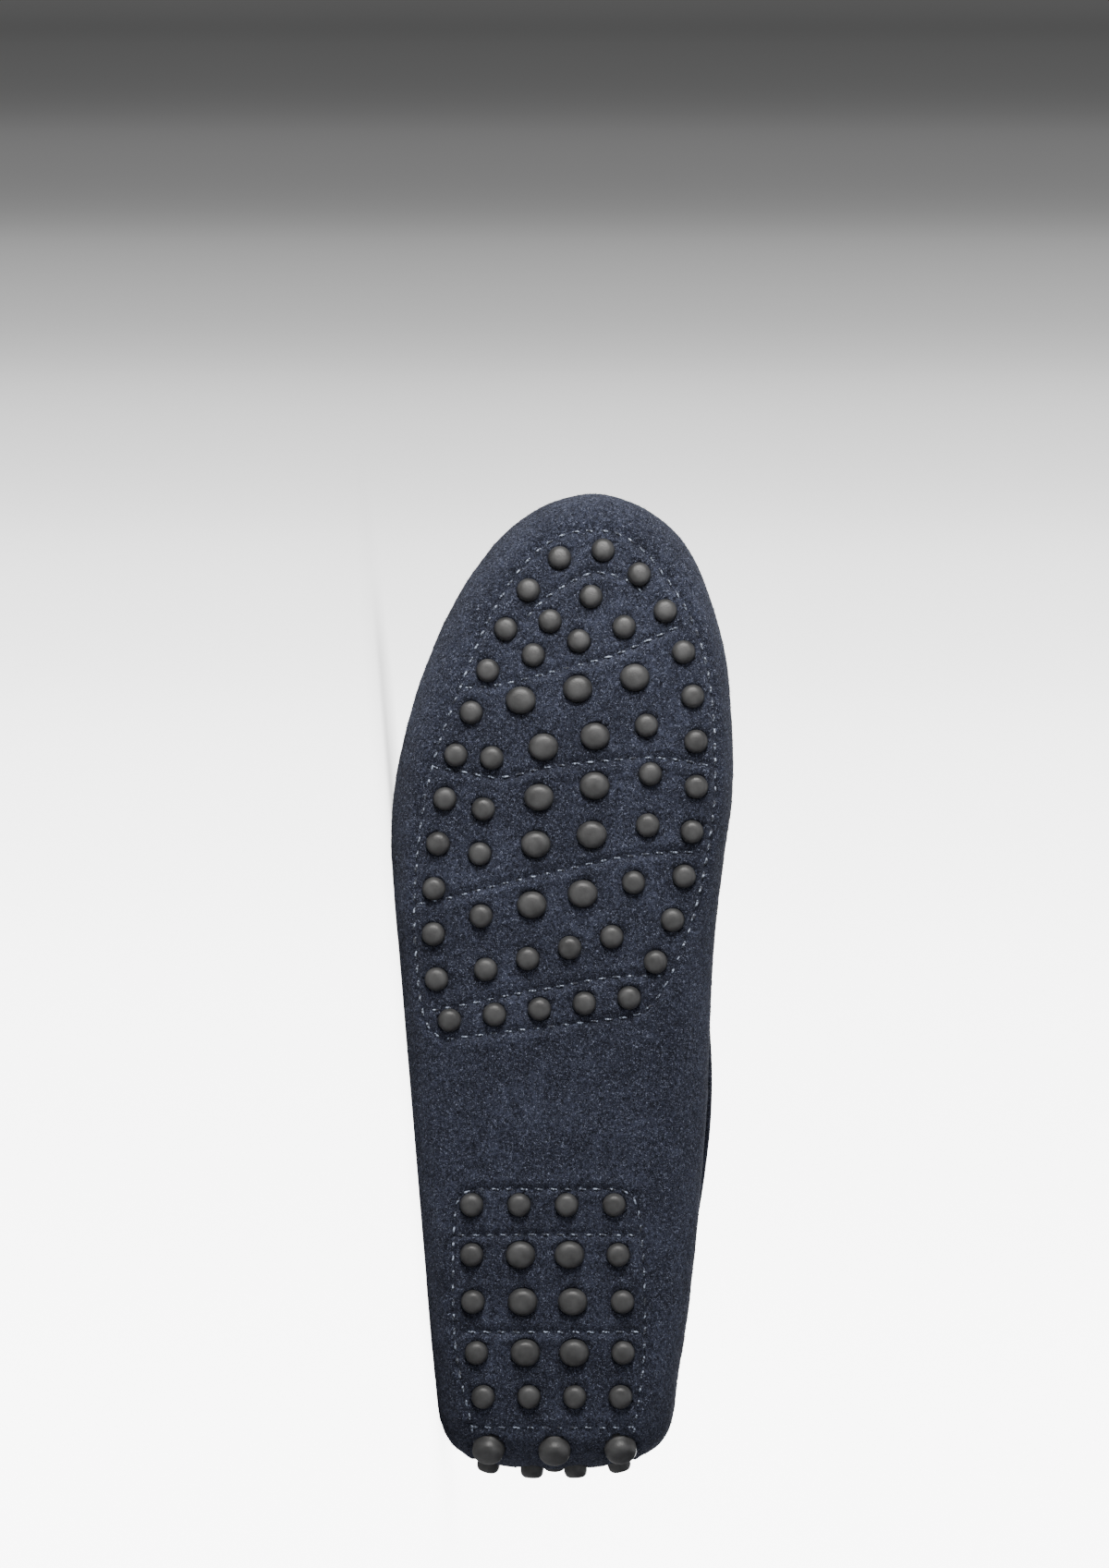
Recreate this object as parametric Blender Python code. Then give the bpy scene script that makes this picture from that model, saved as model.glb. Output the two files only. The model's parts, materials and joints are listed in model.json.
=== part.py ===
"""Driving moccasin for the right foot, men's size 43, lying on its lateral side.

The shoe is worked out upright, in metres: x points to the lateral side, y from the
back of the heel to the toe, z up from the plane of the stud tips. Every piece is cut
from one surface, the outside of the suede shell, at its own depth under it. At the end
the whole shoe is laid on its side, in the way that its own weight would settle it.
"""
import math

import bmesh
import bpy
from mathutils import Matrix, Vector
from mathutils.geometry import intersect_point_tri

# Driving sizes of the last, in metres
SHOE_LENGTH = 0.291
BALL_WIDTH = 0.1015
INSTEP_HEIGHT = 0.074
BACK_HEIGHT = 0.063
TOE_SPRING = 0.009
TOE_SPRING_START = 0.205
HEEL_CENTRE = 0.033
TOE_CENTRE = 0.042

# Walls and fits
SUEDE = 0.0018
PAD_SHEET = 0.0015
INSOLE = 0.003
INSOLE_INSET = 0.0022
INSOLE_BEVEL = 0.0006
CLEARANCE = 0.0003
SEAM_LIP = 0.0026
RIM_EDGE = 0.0004
BINDING = 0.0012
BINDING_DEPTH = 0.009
TONGUE_LENGTH = 0.024
TONGUE_RISE = 0.009
APRON_CROWN = 0.0075
REST_PRESS = 0.0007

# Rubber studs
STUD_PROUD = 0.003
STUD_PITCH = 0.0135
STUD_INSET = 0.0060
INSET_SHARE = 0.97
OUTLINE_STEPS = 120
STUD_TAPER = 0.00025
STUD_SIDES = 8
HOLE_SIDES = 6
STUD_DIAMETERS = {"s": 0.0070, "L": 0.0085, "X": 0.0092}
STUD_EXTRA = {"s": 0.0, "L": 0.0, "X": 0.0010}
CUTTER_REACH = 0.001

# Weights in kg a cubic metre, only to find how the shoe comes to rest
SUEDE_DENSITY = 900.0
RUBBER_DENSITY = 1150.0
INSOLE_DENSITY = 500.0

# How finely the curves are divided
HEEL_STEPS_A_ROW = 5
WAIST_STEPS_A_ROW = 3
THROAT_STEPS_A_ROW = 4
FORE_STEPS_A_ROW = 2.5
CORNER_STEPS = 5
WALL_STEPS = 4

# The last, a row for each section from the heel to the toe.
# along, rim_along: shares of SHOE_LENGTH.
# lateral, medial, tuck_lat, tuck_med, rim_lat, rim_med: shares of BALL_WIDTH.
# bulge: height of the widest place, a share of BACK_HEIGHT.
# rim_up: height of the rim, a share of BACK_HEIGHT behind and INSTEP_HEIGHT in front.
# instep: how far the rim's height follows INSTEP_HEIGHT. lip: share of SEAM_LIP.
LAST_COLUMNS = ("along", "lateral", "medial", "bulge", "tuck_lat", "tuck_med",
                "rim_along", "rim_lat", "rim_med", "rim_up", "instep", "lip")
LAST_ROWS = (
    (0.000, -0.010, 0.010, 0.28, 0.150, 0.150, 0.022, 0.000, 0.000, 1.00, 0.0, 0.0),
    (0.017, 0.275, 0.268, 0.26, 0.165, 0.165, 0.032, 0.190, 0.185, 0.98, 0.0, 0.0),
    (0.110, 0.357, 0.368, 0.22, 0.105, 0.110, 0.108, 0.300, 0.305, 0.90, 0.0, 0.0),
    (0.240, 0.391, 0.413, 0.20, 0.118, 0.138, 0.235, 0.350, 0.392, 0.82, 0.0, 0.0),
    (0.378, 0.426, 0.443, 0.20, 0.130, 0.160, 0.362, 0.385, 0.432, 0.80, 0.0, 0.0),
    (0.512, 0.455, 0.460, 0.20, 0.105, 0.135, 0.468, 0.360, 0.412, 0.77, 1.0, 0.0),
    (0.584, 0.474, 0.479, 0.20, 0.090, 0.105, 0.540, 0.300, 0.335, 0.85, 1.0, 0.6),
    (0.690, 0.468, 0.517, 0.20, 0.090, 0.095, 0.672, 0.275, 0.315, 0.72, 1.0, 1.0),
    (0.785, 0.412, 0.515, 0.20, 0.092, 0.095, 0.770, 0.240, 0.310, 0.61, 1.0, 1.0),
    (0.870, 0.319, 0.477, 0.20, 0.102, 0.098, 0.848, 0.160, 0.262, 0.54, 1.0, 1.0),
    (0.945, 0.185, 0.390, 0.20, 0.115, 0.110, 0.897, 0.065, 0.190, 0.51, 1.0, 1.0),
    (0.985, 0.050, 0.268, 0.20, 0.122, 0.118, 0.916, -0.012, 0.128, 0.50, 1.0, 1.0),
    (1.000, -0.112, 0.112, 0.20, 0.122, 0.122, 0.921, -0.075, 0.075, 0.50, 1.0, 1.0),
)

# The rubber pads, a row for each cross line. along: share of SHOE_LENGTH, measured over
# the suede where it turns up the heel. lateral, medial: shares of BALL_WIDTH.
# slope: how far the line runs back for each metre across.
PAD_COLUMNS = ("along", "lateral", "medial", "slope")
FOREFOOT_PAD_ROWS = (
    (0.455, 0.325, 0.246, 0.12),
    (0.472, 0.380, 0.303, 0.11),
    (0.516, 0.406, 0.364, 0.06),
    (0.584, 0.414, 0.424, 0.00),
    (0.670, 0.390, 0.468, 0.00),
    (0.739, 0.345, 0.474, 0.00),
    (0.808, 0.271, 0.458, 0.00),
    (0.866, 0.202, 0.412, 0.00),
    (0.914, 0.123, 0.330, 0.00),
    (0.947, 0.036, 0.250, 0.00),
    (0.963, -0.050, 0.175, 0.00),
)
HEEL_PAD_ROWS = (
    (-0.093, 0.150, 0.150, 0.00),
    (-0.076, 0.200, 0.195, 0.00),
    (-0.017, 0.222, 0.216, 0.00),
    (0.052, 0.250, 0.240, 0.00),
    (0.120, 0.291, 0.264, 0.00),
    (0.206, 0.300, 0.264, 0.00),
    (0.275, 0.289, 0.242, 0.00),
    (0.290, 0.246, 0.197, 0.00),
)
FOREFOOT_PAD_LINES = 13
HEEL_PAD_LINES = 18
PAD_PLACES = (-1.0, -0.92, -0.82, -0.4, 0.0, 0.4, 0.82, 0.92, 1.0)

# Rows of studs inside the pads. along, across: the row's middle. pitch: share of
# BALL_WIDTH. slope: as above. sizes: one letter a stud, from lateral to medial.
STUD_COLUMNS = ("along", "across", "pitch", "slope", "sizes")
FOREFOOT_STUD_ROWS = (
    (0.530, 0.017, 0.123, 0.26, "ssss"),
    (0.585, -0.008, 0.149, 0.22, "sLLs"),
    (0.646, -0.027, 0.164, 0.17, "sLLs"),
    (0.695, -0.036, 0.163, 0.21, "sLLs"),
    (0.746, -0.043, 0.151, 0.21, "sLLs"),
    (0.800, -0.068, 0.167, 0.20, "LLL"),
    (0.849, -0.071, 0.133, 0.31, "sss"),
    (0.882, -0.047, 0.120, 0.60, "ss"),
)
HEEL_STUD_ROWS = (
    (-0.068, 0.000, 0.150, 0.00, "sss"),
    (-0.026, 0.002, 0.128, 0.00, "ssss"),
    (0.020, 0.000, 0.193, 0.00, "XXX"),
    (0.077, 0.008, 0.134, 0.00, "ssss"),
    (0.122, 0.014, 0.143, 0.00, "sLLs"),
    (0.174, 0.020, 0.146, 0.00, "sLLs"),
    (0.222, 0.028, 0.143, 0.00, "sLLs"),
    (0.273, 0.034, 0.139, 0.00, "ssss"),
)

PAD_DEPTH = SUEDE + CLEARANCE
INSOLE_DEPTH = PAD_DEPTH + PAD_SHEET + CLEARANCE
LAST_ROW = len(LAST_ROWS) - 1
RING_TURNS = 2 * LAST_ROW
TOP = 2.0
LIP_START = 0.35
THROAT_ROW = 6
BINDING_ROW = 5.5
APRON_FRONT = 0.15
HEEL_ROWS = 2
UP = Vector((0.0, 0.0, 1.0))


def curve_through(values, place, closed):
    """Read a smooth curve through rows of numbers, at a place counted in rows."""
    count = len(values)
    if closed:
        place %= count
    else:
        place = min(max(place, 0.0), count - 1.000001)
    start = int(math.floor(place))
    part = place - start

    def row(index):
        if closed:
            return values[index % count]
        return values[min(max(index, 0), count - 1)]

    before, here, there, after = row(start - 1), row(start), row(start + 1), row(start + 2)
    result = []
    for a, b, c, d in zip(before, here, there, after):
        bend = 2 * a - 5 * b + 4 * c - d
        twist = 3 * (b - c) + d - a
        result.append(b + 0.5 * part * (c - a + part * (bend + part * twist)))
    return result


def last_ring():
    """Turn the last's rows into one ring: up the lateral side, back down the medial."""
    ring = []
    for index in range(RING_TURNS):
        lateral = index <= LAST_ROW
        row = LAST_ROWS[index if lateral else RING_TURNS - index]
        size = dict(zip(LAST_COLUMNS, row))
        side = 1.0 if lateral else -1.0
        across = size["lateral"] if lateral else size["medial"]
        tuck = size["tuck_lat"] if lateral else size["tuck_med"]
        rim_across = size["rim_lat"] if lateral else size["rim_med"]
        height = BACK_HEIGHT + (INSTEP_HEIGHT - BACK_HEIGHT) * size["instep"]
        ring.append((
            side * across * BALL_WIDTH,
            size["along"] * SHOE_LENGTH,
            size["bulge"] * BACK_HEIGHT,
            tuck * BALL_WIDTH,
            side * rim_across * BALL_WIDTH,
            size["rim_along"] * SHOE_LENGTH,
            size["rim_up"] * height,
            size["lip"],
        ))
    return ring


LAST_RING = last_ring()


def spring(y):
    """Rise of the bottom towards the toe."""
    reach = max(0.0, (y - TOE_SPRING_START) / (SHOE_LENGTH - TOE_SPRING_START))
    return TOE_SPRING * reach * reach


def bottom(x, y, depth):
    """A point on the flat of the bottom, at a depth under the outside of the suede."""
    slope = 2.0 * spring(y) / max(y - TOE_SPRING_START, 1e-6)
    normal = Vector((0.0, -slope, 1.0)).normalized()
    return Vector((x, y, STUD_PROUD + spring(y))) + normal * depth


class Section:
    """The curve of the shell in one upright cut, from the flat bottom to the rim."""

    def __init__(self, place):
        values = curve_through(LAST_RING, place, True)
        across = curve_through(LAST_RING, RING_TURNS - place, True)
        side = Vector((values[0], values[1], 0.0))
        length = SHOE_LENGTH - HEEL_CENTRE - TOE_CENTRE
        middle_x = (values[0] + across[0]) / 2
        self.middle = Vector((middle_x, HEEL_CENTRE + values[1] / SHOE_LENGTH * length, 0.0))
        self.out = (side - self.middle).normalized()
        self.reach = (side - self.middle).length - values[3]
        self.tuck = values[3]
        self.foot = self.middle + self.out * self.reach
        self.foot.z = STUD_PROUD + spring(self.foot.y)
        self.bulge = values[2] + STUD_PROUD + spring(values[1]) * 0.6
        self.side = Vector((side.x, side.y, self.bulge))
        self.rim = Vector((values[4], values[5], values[6] + STUD_PROUD))
        self.lip = min(max(values[7] - LIP_START, 0.0) / (1.0 - LIP_START), 1.0) * SEAM_LIP

    def point(self, height):
        """height 0 is the edge of the flat, 1 the widest place, 2 the rim."""
        if height <= 1.0:
            angle = height * math.pi / 2
            rise = (self.bulge - self.foot.z) * (1.0 - math.cos(angle))
            return self.foot + self.out * (self.tuck * math.sin(angle)) + UP * rise
        part = height - 1.0
        fullness = self.lip / SEAM_LIP
        shoulder = self.side.lerp(self.rim, 0.45 - 0.41 * fullness)
        shoulder.z = self.side.z + (0.60 + 0.28 * fullness) * (self.rim.z - self.side.z)
        low = self.side.lerp(shoulder, part)
        return low.lerp(shoulder.lerp(self.rim, part), part)


def skin(place, height, depth=0.0):
    """A point of the shell, moved in by depth along the wall's own normal."""
    step = 0.02
    here = Section(place)
    along = Section(place + step).point(height) - Section(place - step).point(height)
    rise = here.point(min(height + step, TOP)) - here.point(max(height - step, 0.0))
    return here.point(height) - along.cross(rise).normalized() * depth


def turned_place(x, y):
    """The section and the height where x and y lie, or no height on the flat bottom."""
    spot = Vector((x, y, 0.0))
    low, high = 0.0, float(LAST_ROW)
    if x < Section(LAST_ROW * max(y, 0.0) / SHOE_LENGTH).middle.x:
        low, high = float(RING_TURNS), float(LAST_ROW)
    for _ in range(22):
        place = (low + high) / 2
        cut = Section(place)
        turned = cut.out.cross(spot - cut.middle).z
        if (turned > 0) == (high > low):
            low = place
        else:
            high = place
    cut = Section((low + high) / 2)
    past = (spot - cut.middle).dot(cut.out) - cut.reach
    if past <= 0.0:
        return cut, (low + high) / 2, None
    height, step = 0.0, 0.02
    point = cut.point(0.0)
    while past > 0.0 and height < TOP:
        ahead = cut.point(height + step)
        run = (ahead - point).length
        height += step * min(1.0, past / run)
        past -= run
        point = ahead
    return cut, (low + high) / 2, height


def over_suede(x, y, depth):
    """A point of the bottom. x is across, y is measured over the suede up the heel."""
    guess = x
    for _ in range(7):
        cut, place, height = turned_place(guess, y)
        if height is None:
            return bottom(x, y, depth)
        guess += x - cut.point(height).x
    return skin(place, height, depth)


def collection(name):
    """A collection in the scene, made once."""
    group = bpy.data.collections.get(name)
    if group is None:
        group = bpy.data.collections.new(name)
        bpy.context.scene.collection.children.link(group)
    return group


def material(name, color, roughness):
    """A plain material with the piece's colour."""
    made = bpy.data.materials.new(name)
    made.use_nodes = True
    shader = made.node_tree.nodes["Principled BSDF"]
    shader.inputs["Base Color"].default_value = (*color, 1.0)
    shader.inputs["Roughness"].default_value = roughness
    made.diffuse_color = (*color, 1.0)
    return made


def finish(name, bm, finish_material):
    """Close a bmesh into an object of the moccasin."""
    bmesh.ops.recalc_face_normals(bm, faces=bm.faces)
    if bm.calc_volume(signed=True) < 0.0:
        bmesh.ops.reverse_faces(bm, faces=bm.faces)
    mesh = bpy.data.meshes.new(name)
    bm.to_mesh(mesh)
    bm.free()
    mesh.materials.append(finish_material)
    mesh.shade_smooth()
    mesh.set_sharp_from_angle(angle=math.radians(35))
    made = bpy.data.objects.new(name, mesh)
    collection("driving_moccasin").objects.link(made)
    return made


def bridge(bm, ring, following):
    """Quads between two closed rings with as many points."""
    count = len(ring)
    for index in range(count):
        after = (index + 1) % count
        bm.faces.new((ring[index], ring[after], following[after], following[index]))


def ladder(bm, ring):
    """Close a ring that runs round the shoe, with strips from side to side."""
    count = len(ring)
    bm.faces.new((ring[0], ring[1], ring[-1]))
    for index in range(1, count // 2 - 1):
        bm.faces.new((ring[index], ring[index + 1], ring[count - index - 1], ring[count - index]))
    bm.faces.new((ring[count // 2 - 1], ring[count // 2], ring[count // 2 + 1]))


def cup(name, rings, finish_material):
    """A body whose surface runs ring by ring, closed across its first and last ring."""
    bm = bmesh.new()
    made = [[bm.verts.new(point) for point in ring] for ring in rings]
    for ring, following in zip(made, made[1:]):
        bridge(bm, ring, following)
    ladder(bm, made[0])
    ladder(bm, made[-1])
    return finish(name, bm, finish_material)


def sleeve(name, rings, finish_material):
    """A body lofted through closed rings, with a flat end at the first and the last."""
    bm = bmesh.new()
    made = [[bm.verts.new(point) for point in ring] for ring in rings]
    for ring, following in zip(made, made[1:]):
        bridge(bm, ring, following)
    bm.faces.new(made[0])
    bm.faces.new(made[-1])
    return finish(name, bm, finish_material)


def side_places():
    """Places up one side, from the back of the heel to the toe, closest at the heel."""
    places = [index / HEEL_STEPS_A_ROW for index in range(HEEL_ROWS * HEEL_STEPS_A_ROW)]
    waist = (THROAT_ROW - 1 - HEEL_ROWS) * WAIST_STEPS_A_ROW
    places += [HEEL_ROWS + index / WAIST_STEPS_A_ROW for index in range(waist)]
    places += [THROAT_ROW - 1 + index / THROAT_STEPS_A_ROW for index in range(THROAT_STEPS_A_ROW)]
    fore = int((LAST_ROW - THROAT_ROW) * FORE_STEPS_A_ROW)
    places += [THROAT_ROW + index / FORE_STEPS_A_ROW for index in range(fore + 1)]
    return places


def ring_places():
    """Places round the whole ring: up the lateral side and back down the medial."""
    side = side_places()
    return side + [RING_TURNS - place for place in reversed(side[1:-1])]


def ring_at(height, depth):
    """One ring of the shell at a height and a depth."""
    return [skin(place, height, depth) for place in ring_places()]


def foot_ring(depth, inset=0.0):
    """The ring round the flat of the bottom, where the corner starts."""
    ring = []
    for place in ring_places():
        cut = Section(place)
        foot = cut.foot - cut.out * inset
        ring.append(bottom(foot.x, foot.y, depth))
    return ring


def edge_tip(place):
    """The direction in which the wall ends at its rim."""
    return (skin(place, TOP) - skin(place, TOP - 0.05)).normalized()


def lip_ring(wall):
    """The wall's top edge, wall metres in: bare at the collar, raised along the apron."""
    ring = []
    for place in ring_places():
        cut = Section(place)
        if cut.lip > 0.0:
            ring.append(cut.rim - cut.out * wall + UP * (cut.lip + RIM_EDGE))
        else:
            ring.append(skin(place, TOP, wall) + edge_tip(place) * RIM_EDGE)
    return ring


def make_upper(suede):
    """The one-piece shell: bottom, corners and walls, open at the collar and the apron."""
    heights = [index / CORNER_STEPS for index in range(1, CORNER_STEPS + 1)]
    heights += [1.0 + index / WALL_STEPS for index in range(1, WALL_STEPS + 1)]
    rings = [foot_ring(0.0)]
    rings += [ring_at(height, 0.0) for height in heights]
    rings.append(lip_ring(0.0))
    rings.append(lip_ring(SUEDE))
    rings += [ring_at(height, SUEDE) for height in reversed(heights)]
    rings.append(foot_ring(SUEDE))
    return cup("upper", rings, suede)


def make_insole(lining):
    """The flat inner sole, inside the turn of the suede and of the pads."""
    rings = [foot_ring(INSOLE_DEPTH, INSOLE_INSET)]
    rings.append(foot_ring(INSOLE_DEPTH + INSOLE, INSOLE_INSET + INSOLE_BEVEL))
    return cup("insole", rings, lining)


def apron_edges(place):
    """The apron's two edges against the raised seam, lateral and medial."""
    edges = []
    for spot in (place, RING_TURNS - place):
        cut = Section(spot)
        edges.append((cut.rim, -cut.out, cut.lip))
    return edges


def apron_ring(edges, crown, lip_share):
    """One closed section of the apron between its two edges."""
    (left, left_in, left_lip), (right, right_in, right_lip) = edges
    gap = SUEDE + CLEARANCE

    def edge_points(rim, inside, lip):
        rise = lip * lip_share
        top_out = rim + inside * gap + UP * (rise + 0.0002)
        top_in = rim + inside * (gap + SUEDE) + UP * rise
        root = rim + inside * (gap + SUEDE + 0.0006) + UP * 0.0006
        under = rim + inside * gap - UP * 0.0012
        return top_out, top_in, root, under

    left_out, left_top, left_root, left_under = edge_points(left, left_in, left_lip)
    right_out, right_top, right_root, right_under = edge_points(right, right_in, right_lip)
    across = (-0.66, -0.33, 0.0, 0.33, 0.66)
    surface = []
    for share in across:
        point = left_root.lerp(right_root, (share + 1.0) / 2)
        surface.append(point + UP * crown * (1.0 - share * share))
    lining = [point - UP * SUEDE for point in reversed(surface)]
    return ([left_out, left_top, left_root] + surface + [right_root, right_top, right_out]
            + [right_under] + lining + [left_under])


def make_apron(suede):
    """The crowned apron inside the raised seam, with the tongue that carries on from it."""
    widest = (apron_edges(7.0)[0][0] - apron_edges(7.0)[1][0]).length
    rings = []
    tongue_lines = ((1.0, 0.60), (0.92, 0.82), (0.70, 0.92), (0.35, 0.97))
    start = apron_edges(THROAT_ROW)
    middle = (start[0][0] + start[1][0]) / 2
    for share, width in tongue_lines:
        edges = []
        for rim, inside, _ in start:
            back = Vector((0.0, -TONGUE_LENGTH * share, TONGUE_RISE * share))
            point = middle.lerp(rim, width - 0.10 * share) + back
            edges.append((point, Vector((inside.x, 0.0, 0.0)).normalized(), 0.0))
        rings.append(apron_ring(edges, APRON_CROWN * width, 0.0))
    places = [place for place in side_places()[:-1] if place >= THROAT_ROW]
    places.append(LAST_ROW - APRON_FRONT)
    for place in places:
        edges = apron_edges(place)
        width = (edges[0][0] - edges[1][0]).length / widest
        lip_share = min(1.0, place - places[0])
        rings.append(apron_ring(edges, APRON_CROWN * min(width, 1.1), lip_share))
    return sleeve("apron", rings, suede)


def make_binding(suede):
    """The band folded over the topline, from one corner of the throat to the other."""
    side = [place for place in side_places() if place <= BINDING_ROW]
    rings = []
    for place in [-place for place in reversed(side[1:])] + side:
        cut = Section(place)
        wall = (cut.rim - cut.side).length
        foot = TOP - BINDING_DEPTH / wall
        tip = edge_tip(place)
        out = -(CLEARANCE + BINDING)
        inside = SUEDE + CLEARANCE
        rise = RIM_EDGE + CLEARANCE
        top = skin(place, TOP, SUEDE / 2) + tip * (rise + BINDING * 1.2)
        rings.append([
            skin(place, foot, -CLEARANCE), skin(place, foot, out),
            skin(place, TOP, out), top, skin(place, TOP, inside + BINDING),
            skin(place, foot, inside + BINDING), skin(place, foot, inside),
            skin(place, TOP, inside) + tip * rise, skin(place, TOP, -CLEARANCE) + tip * rise,
        ])
    return sleeve("collar_binding", rings, suede)


def pad_line(rows, share):
    """A cross line of a pad: its middle, its half width and its slope."""
    size = dict(zip(PAD_COLUMNS, curve_through(rows, share * (len(rows) - 1), False)))
    middle = (size["lateral"] - size["medial"]) / 2 * BALL_WIDTH
    half = (size["lateral"] + size["medial"]) / 2 * BALL_WIDTH
    return middle, size["along"] * SHOE_LENGTH, half, size["slope"]


def pad_spot(rows, share, place):
    """Where a pad's cross line has a place from -1, medial, to 1, lateral."""
    middle, along, half, slope = pad_line(rows, share)
    x = middle + half * place
    return x, along - slope * x


def make_pad(name, rows, lines, rubber):
    """The thin rubber sheet between the suede and the inner sole."""
    rings = []
    for line in range(lines + 1):
        share = line / lines
        spots = [pad_spot(rows, share, place) for place in PAD_PLACES]
        low = [over_suede(x, y, PAD_DEPTH) for x, y in spots]
        high = [over_suede(x, y, PAD_DEPTH + PAD_SHEET) for x, y in reversed(spots)]
        rings.append(low + high)
    return sleeve(name, rings, rubber)


def row_studs(rows):
    """The studs of a pad's inner rows: across, along and size letter."""
    studs = []
    for row in rows:
        size = dict(zip(STUD_COLUMNS, row))
        count = len(size["sizes"])
        for index, letter in enumerate(size["sizes"]):
            step = (count - 1) / 2 - index
            x = (size["across"] + step * size["pitch"]) * BALL_WIDTH
            offset = step * size["pitch"] * BALL_WIDTH
            studs.append((x, size["along"] * SHOE_LENGTH - offset * size["slope"], letter))
    return studs


def rim_studs(rows):
    """Small studs at an even pitch, one inset inside the pad's whole outline."""
    shares = [index / OUTLINE_STEPS for index in range(OUTLINE_STEPS + 1)]
    lateral = [pad_spot(rows, share, 1.0) for share in shares]
    medial = [pad_spot(rows, share, -1.0) for share in reversed(shares)]
    outline = [Vector(spot) for spot in lateral + medial]
    middle = sum(outline, Vector((0.0, 0.0))) / len(outline)
    loop = []
    for index, spot in enumerate(outline):
        run = outline[(index + 3) % len(outline)] - outline[index - 3]
        inside = Vector((-run.y, run.x)).normalized()
        if inside.dot(middle - spot) < 0:
            inside = -inside
        moved = spot + inside * STUD_INSET
        if min((moved - other).length for other in outline) > INSET_SHARE * STUD_INSET:
            loop.append(moved)
    lengths = [(loop[(index + 1) % len(loop)] - spot).length for index, spot in enumerate(loop)]
    total = sum(lengths)
    count = round(total / STUD_PITCH)
    studs = []
    for number in range(count):
        want = number * total / count
        index = 0
        while want > lengths[index]:
            want -= lengths[index]
            index += 1
        spot = loop[index].lerp(loop[(index + 1) % len(loop)], want / lengths[index])
        studs.append((spot.x, spot.y, "s"))
    return studs


def stud_cones(name, studs, hole):
    """A tapered stud for each place, or the hole that clears it through the suede."""
    sides = HOLE_SIDES if hole else STUD_SIDES
    high = INSOLE_DEPTH if hole else PAD_DEPTH + PAD_SHEET / 2
    bm = bmesh.new()
    for x, y, letter in studs:
        reach = CUTTER_REACH if hole else STUD_PROUD + STUD_EXTRA[letter]
        outside = over_suede(x, y, -reach)
        inside = over_suede(x, y, high)
        axis = outside - inside
        radius = STUD_DIAMETERS[letter] / 2
        if hole:
            radius = (radius + CLEARANCE) / math.cos(math.pi / sides)
        taper = 0.0 if hole else STUD_TAPER
        turn = axis.to_track_quat("Z", "X").to_matrix().to_4x4()
        matrix = Matrix.Translation((outside + inside) / 2) @ turn
        bmesh.ops.create_cone(bm, cap_ends=True, segments=sides, radius1=radius,
                              radius2=radius - taper, depth=axis.length, matrix=matrix)
    mesh = bpy.data.meshes.new(name)
    bm.to_mesh(mesh)
    bm.free()
    made = bpy.data.objects.new(name, mesh)
    made.hide_render = True
    made.display_type = "WIRE"
    collection("cutters").objects.link(made)
    return made


def join_with(target, tool, operation):
    """Join a tool to a piece, or cut the piece with it."""
    boolean = target.modifiers.new(tool.name, "BOOLEAN")
    boolean.operation = operation
    boolean.object = tool


def weigh(pieces):
    """The shoe's centre of mass, from each piece's mesh and the weight of its stuff."""
    total, moment = 0.0, Vector()
    for piece, density in pieces:
        mesh = piece.data
        mesh.calc_loop_triangles()
        for triangle in mesh.loop_triangles:
            a, b, c = (mesh.vertices[index].co for index in triangle.vertices)
            mass = a.dot(b.cross(c)) / 6 * density
            total += mass
            moment += (a + b + c) / 4 * mass
    return moment / total


def resting_plane(pieces):
    """The plane of the three places on the lateral side that carry the centre of mass."""
    centre = weigh(pieces)
    bm = bmesh.new()
    for piece, _ in pieces:
        for vertex in piece.data.vertices:
            bm.verts.new(vertex.co)
    hull = bmesh.ops.convex_hull(bm, input=bm.verts)
    best = None
    for face in hull["geom"]:
        if not isinstance(face, bmesh.types.BMFace) or face.calc_area() < 1e-7:
            continue
        face.normal_update()
        drop = (face.verts[0].co - centre).dot(face.normal)
        normal = face.normal if drop > 0.0 else -face.normal
        corners = [vertex.co for vertex in face.verts]
        if normal.x > 0.8 and intersect_point_tri(centre + normal * abs(drop), *corners):
            best = (normal.copy(), corners[0].dot(normal))
    bm.free()
    return best[0], best[1] - REST_PRESS


def press_flat(pieces, normal, distance):
    """Press what would reach past the resting plane flat against it."""
    for piece, _ in pieces:
        for vertex in piece.data.vertices:
            past = vertex.co.dot(normal) - distance
            if past > 0.0:
                vertex.co -= normal * past


def lay_down(things, normal):
    """Lie the shoe on its resting plane, toe to -X and sole to -Y, centred on the floor."""
    forward = Vector((0.0, 1.0, 0.0))
    forward = (forward - normal * forward.dot(normal)).normalized()
    side = normal.cross(forward)
    turn = Matrix((-forward, side, -normal)).to_4x4()
    points = [turn @ vertex.co for thing in things for vertex in thing.data.vertices]
    low = Vector(min(point[axis] for point in points) for axis in range(3))
    high = Vector(max(point[axis] for point in points) for axis in range(3))
    move = Vector((-(low.x + high.x) / 2, -(low.y + high.y) / 2, -low.z))
    rest = bpy.data.objects.new("shoe_at_rest", None)
    collection("driving_moccasin").objects.link(rest)
    rest.matrix_world = Matrix.Translation(move) @ turn
    return rest


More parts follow.
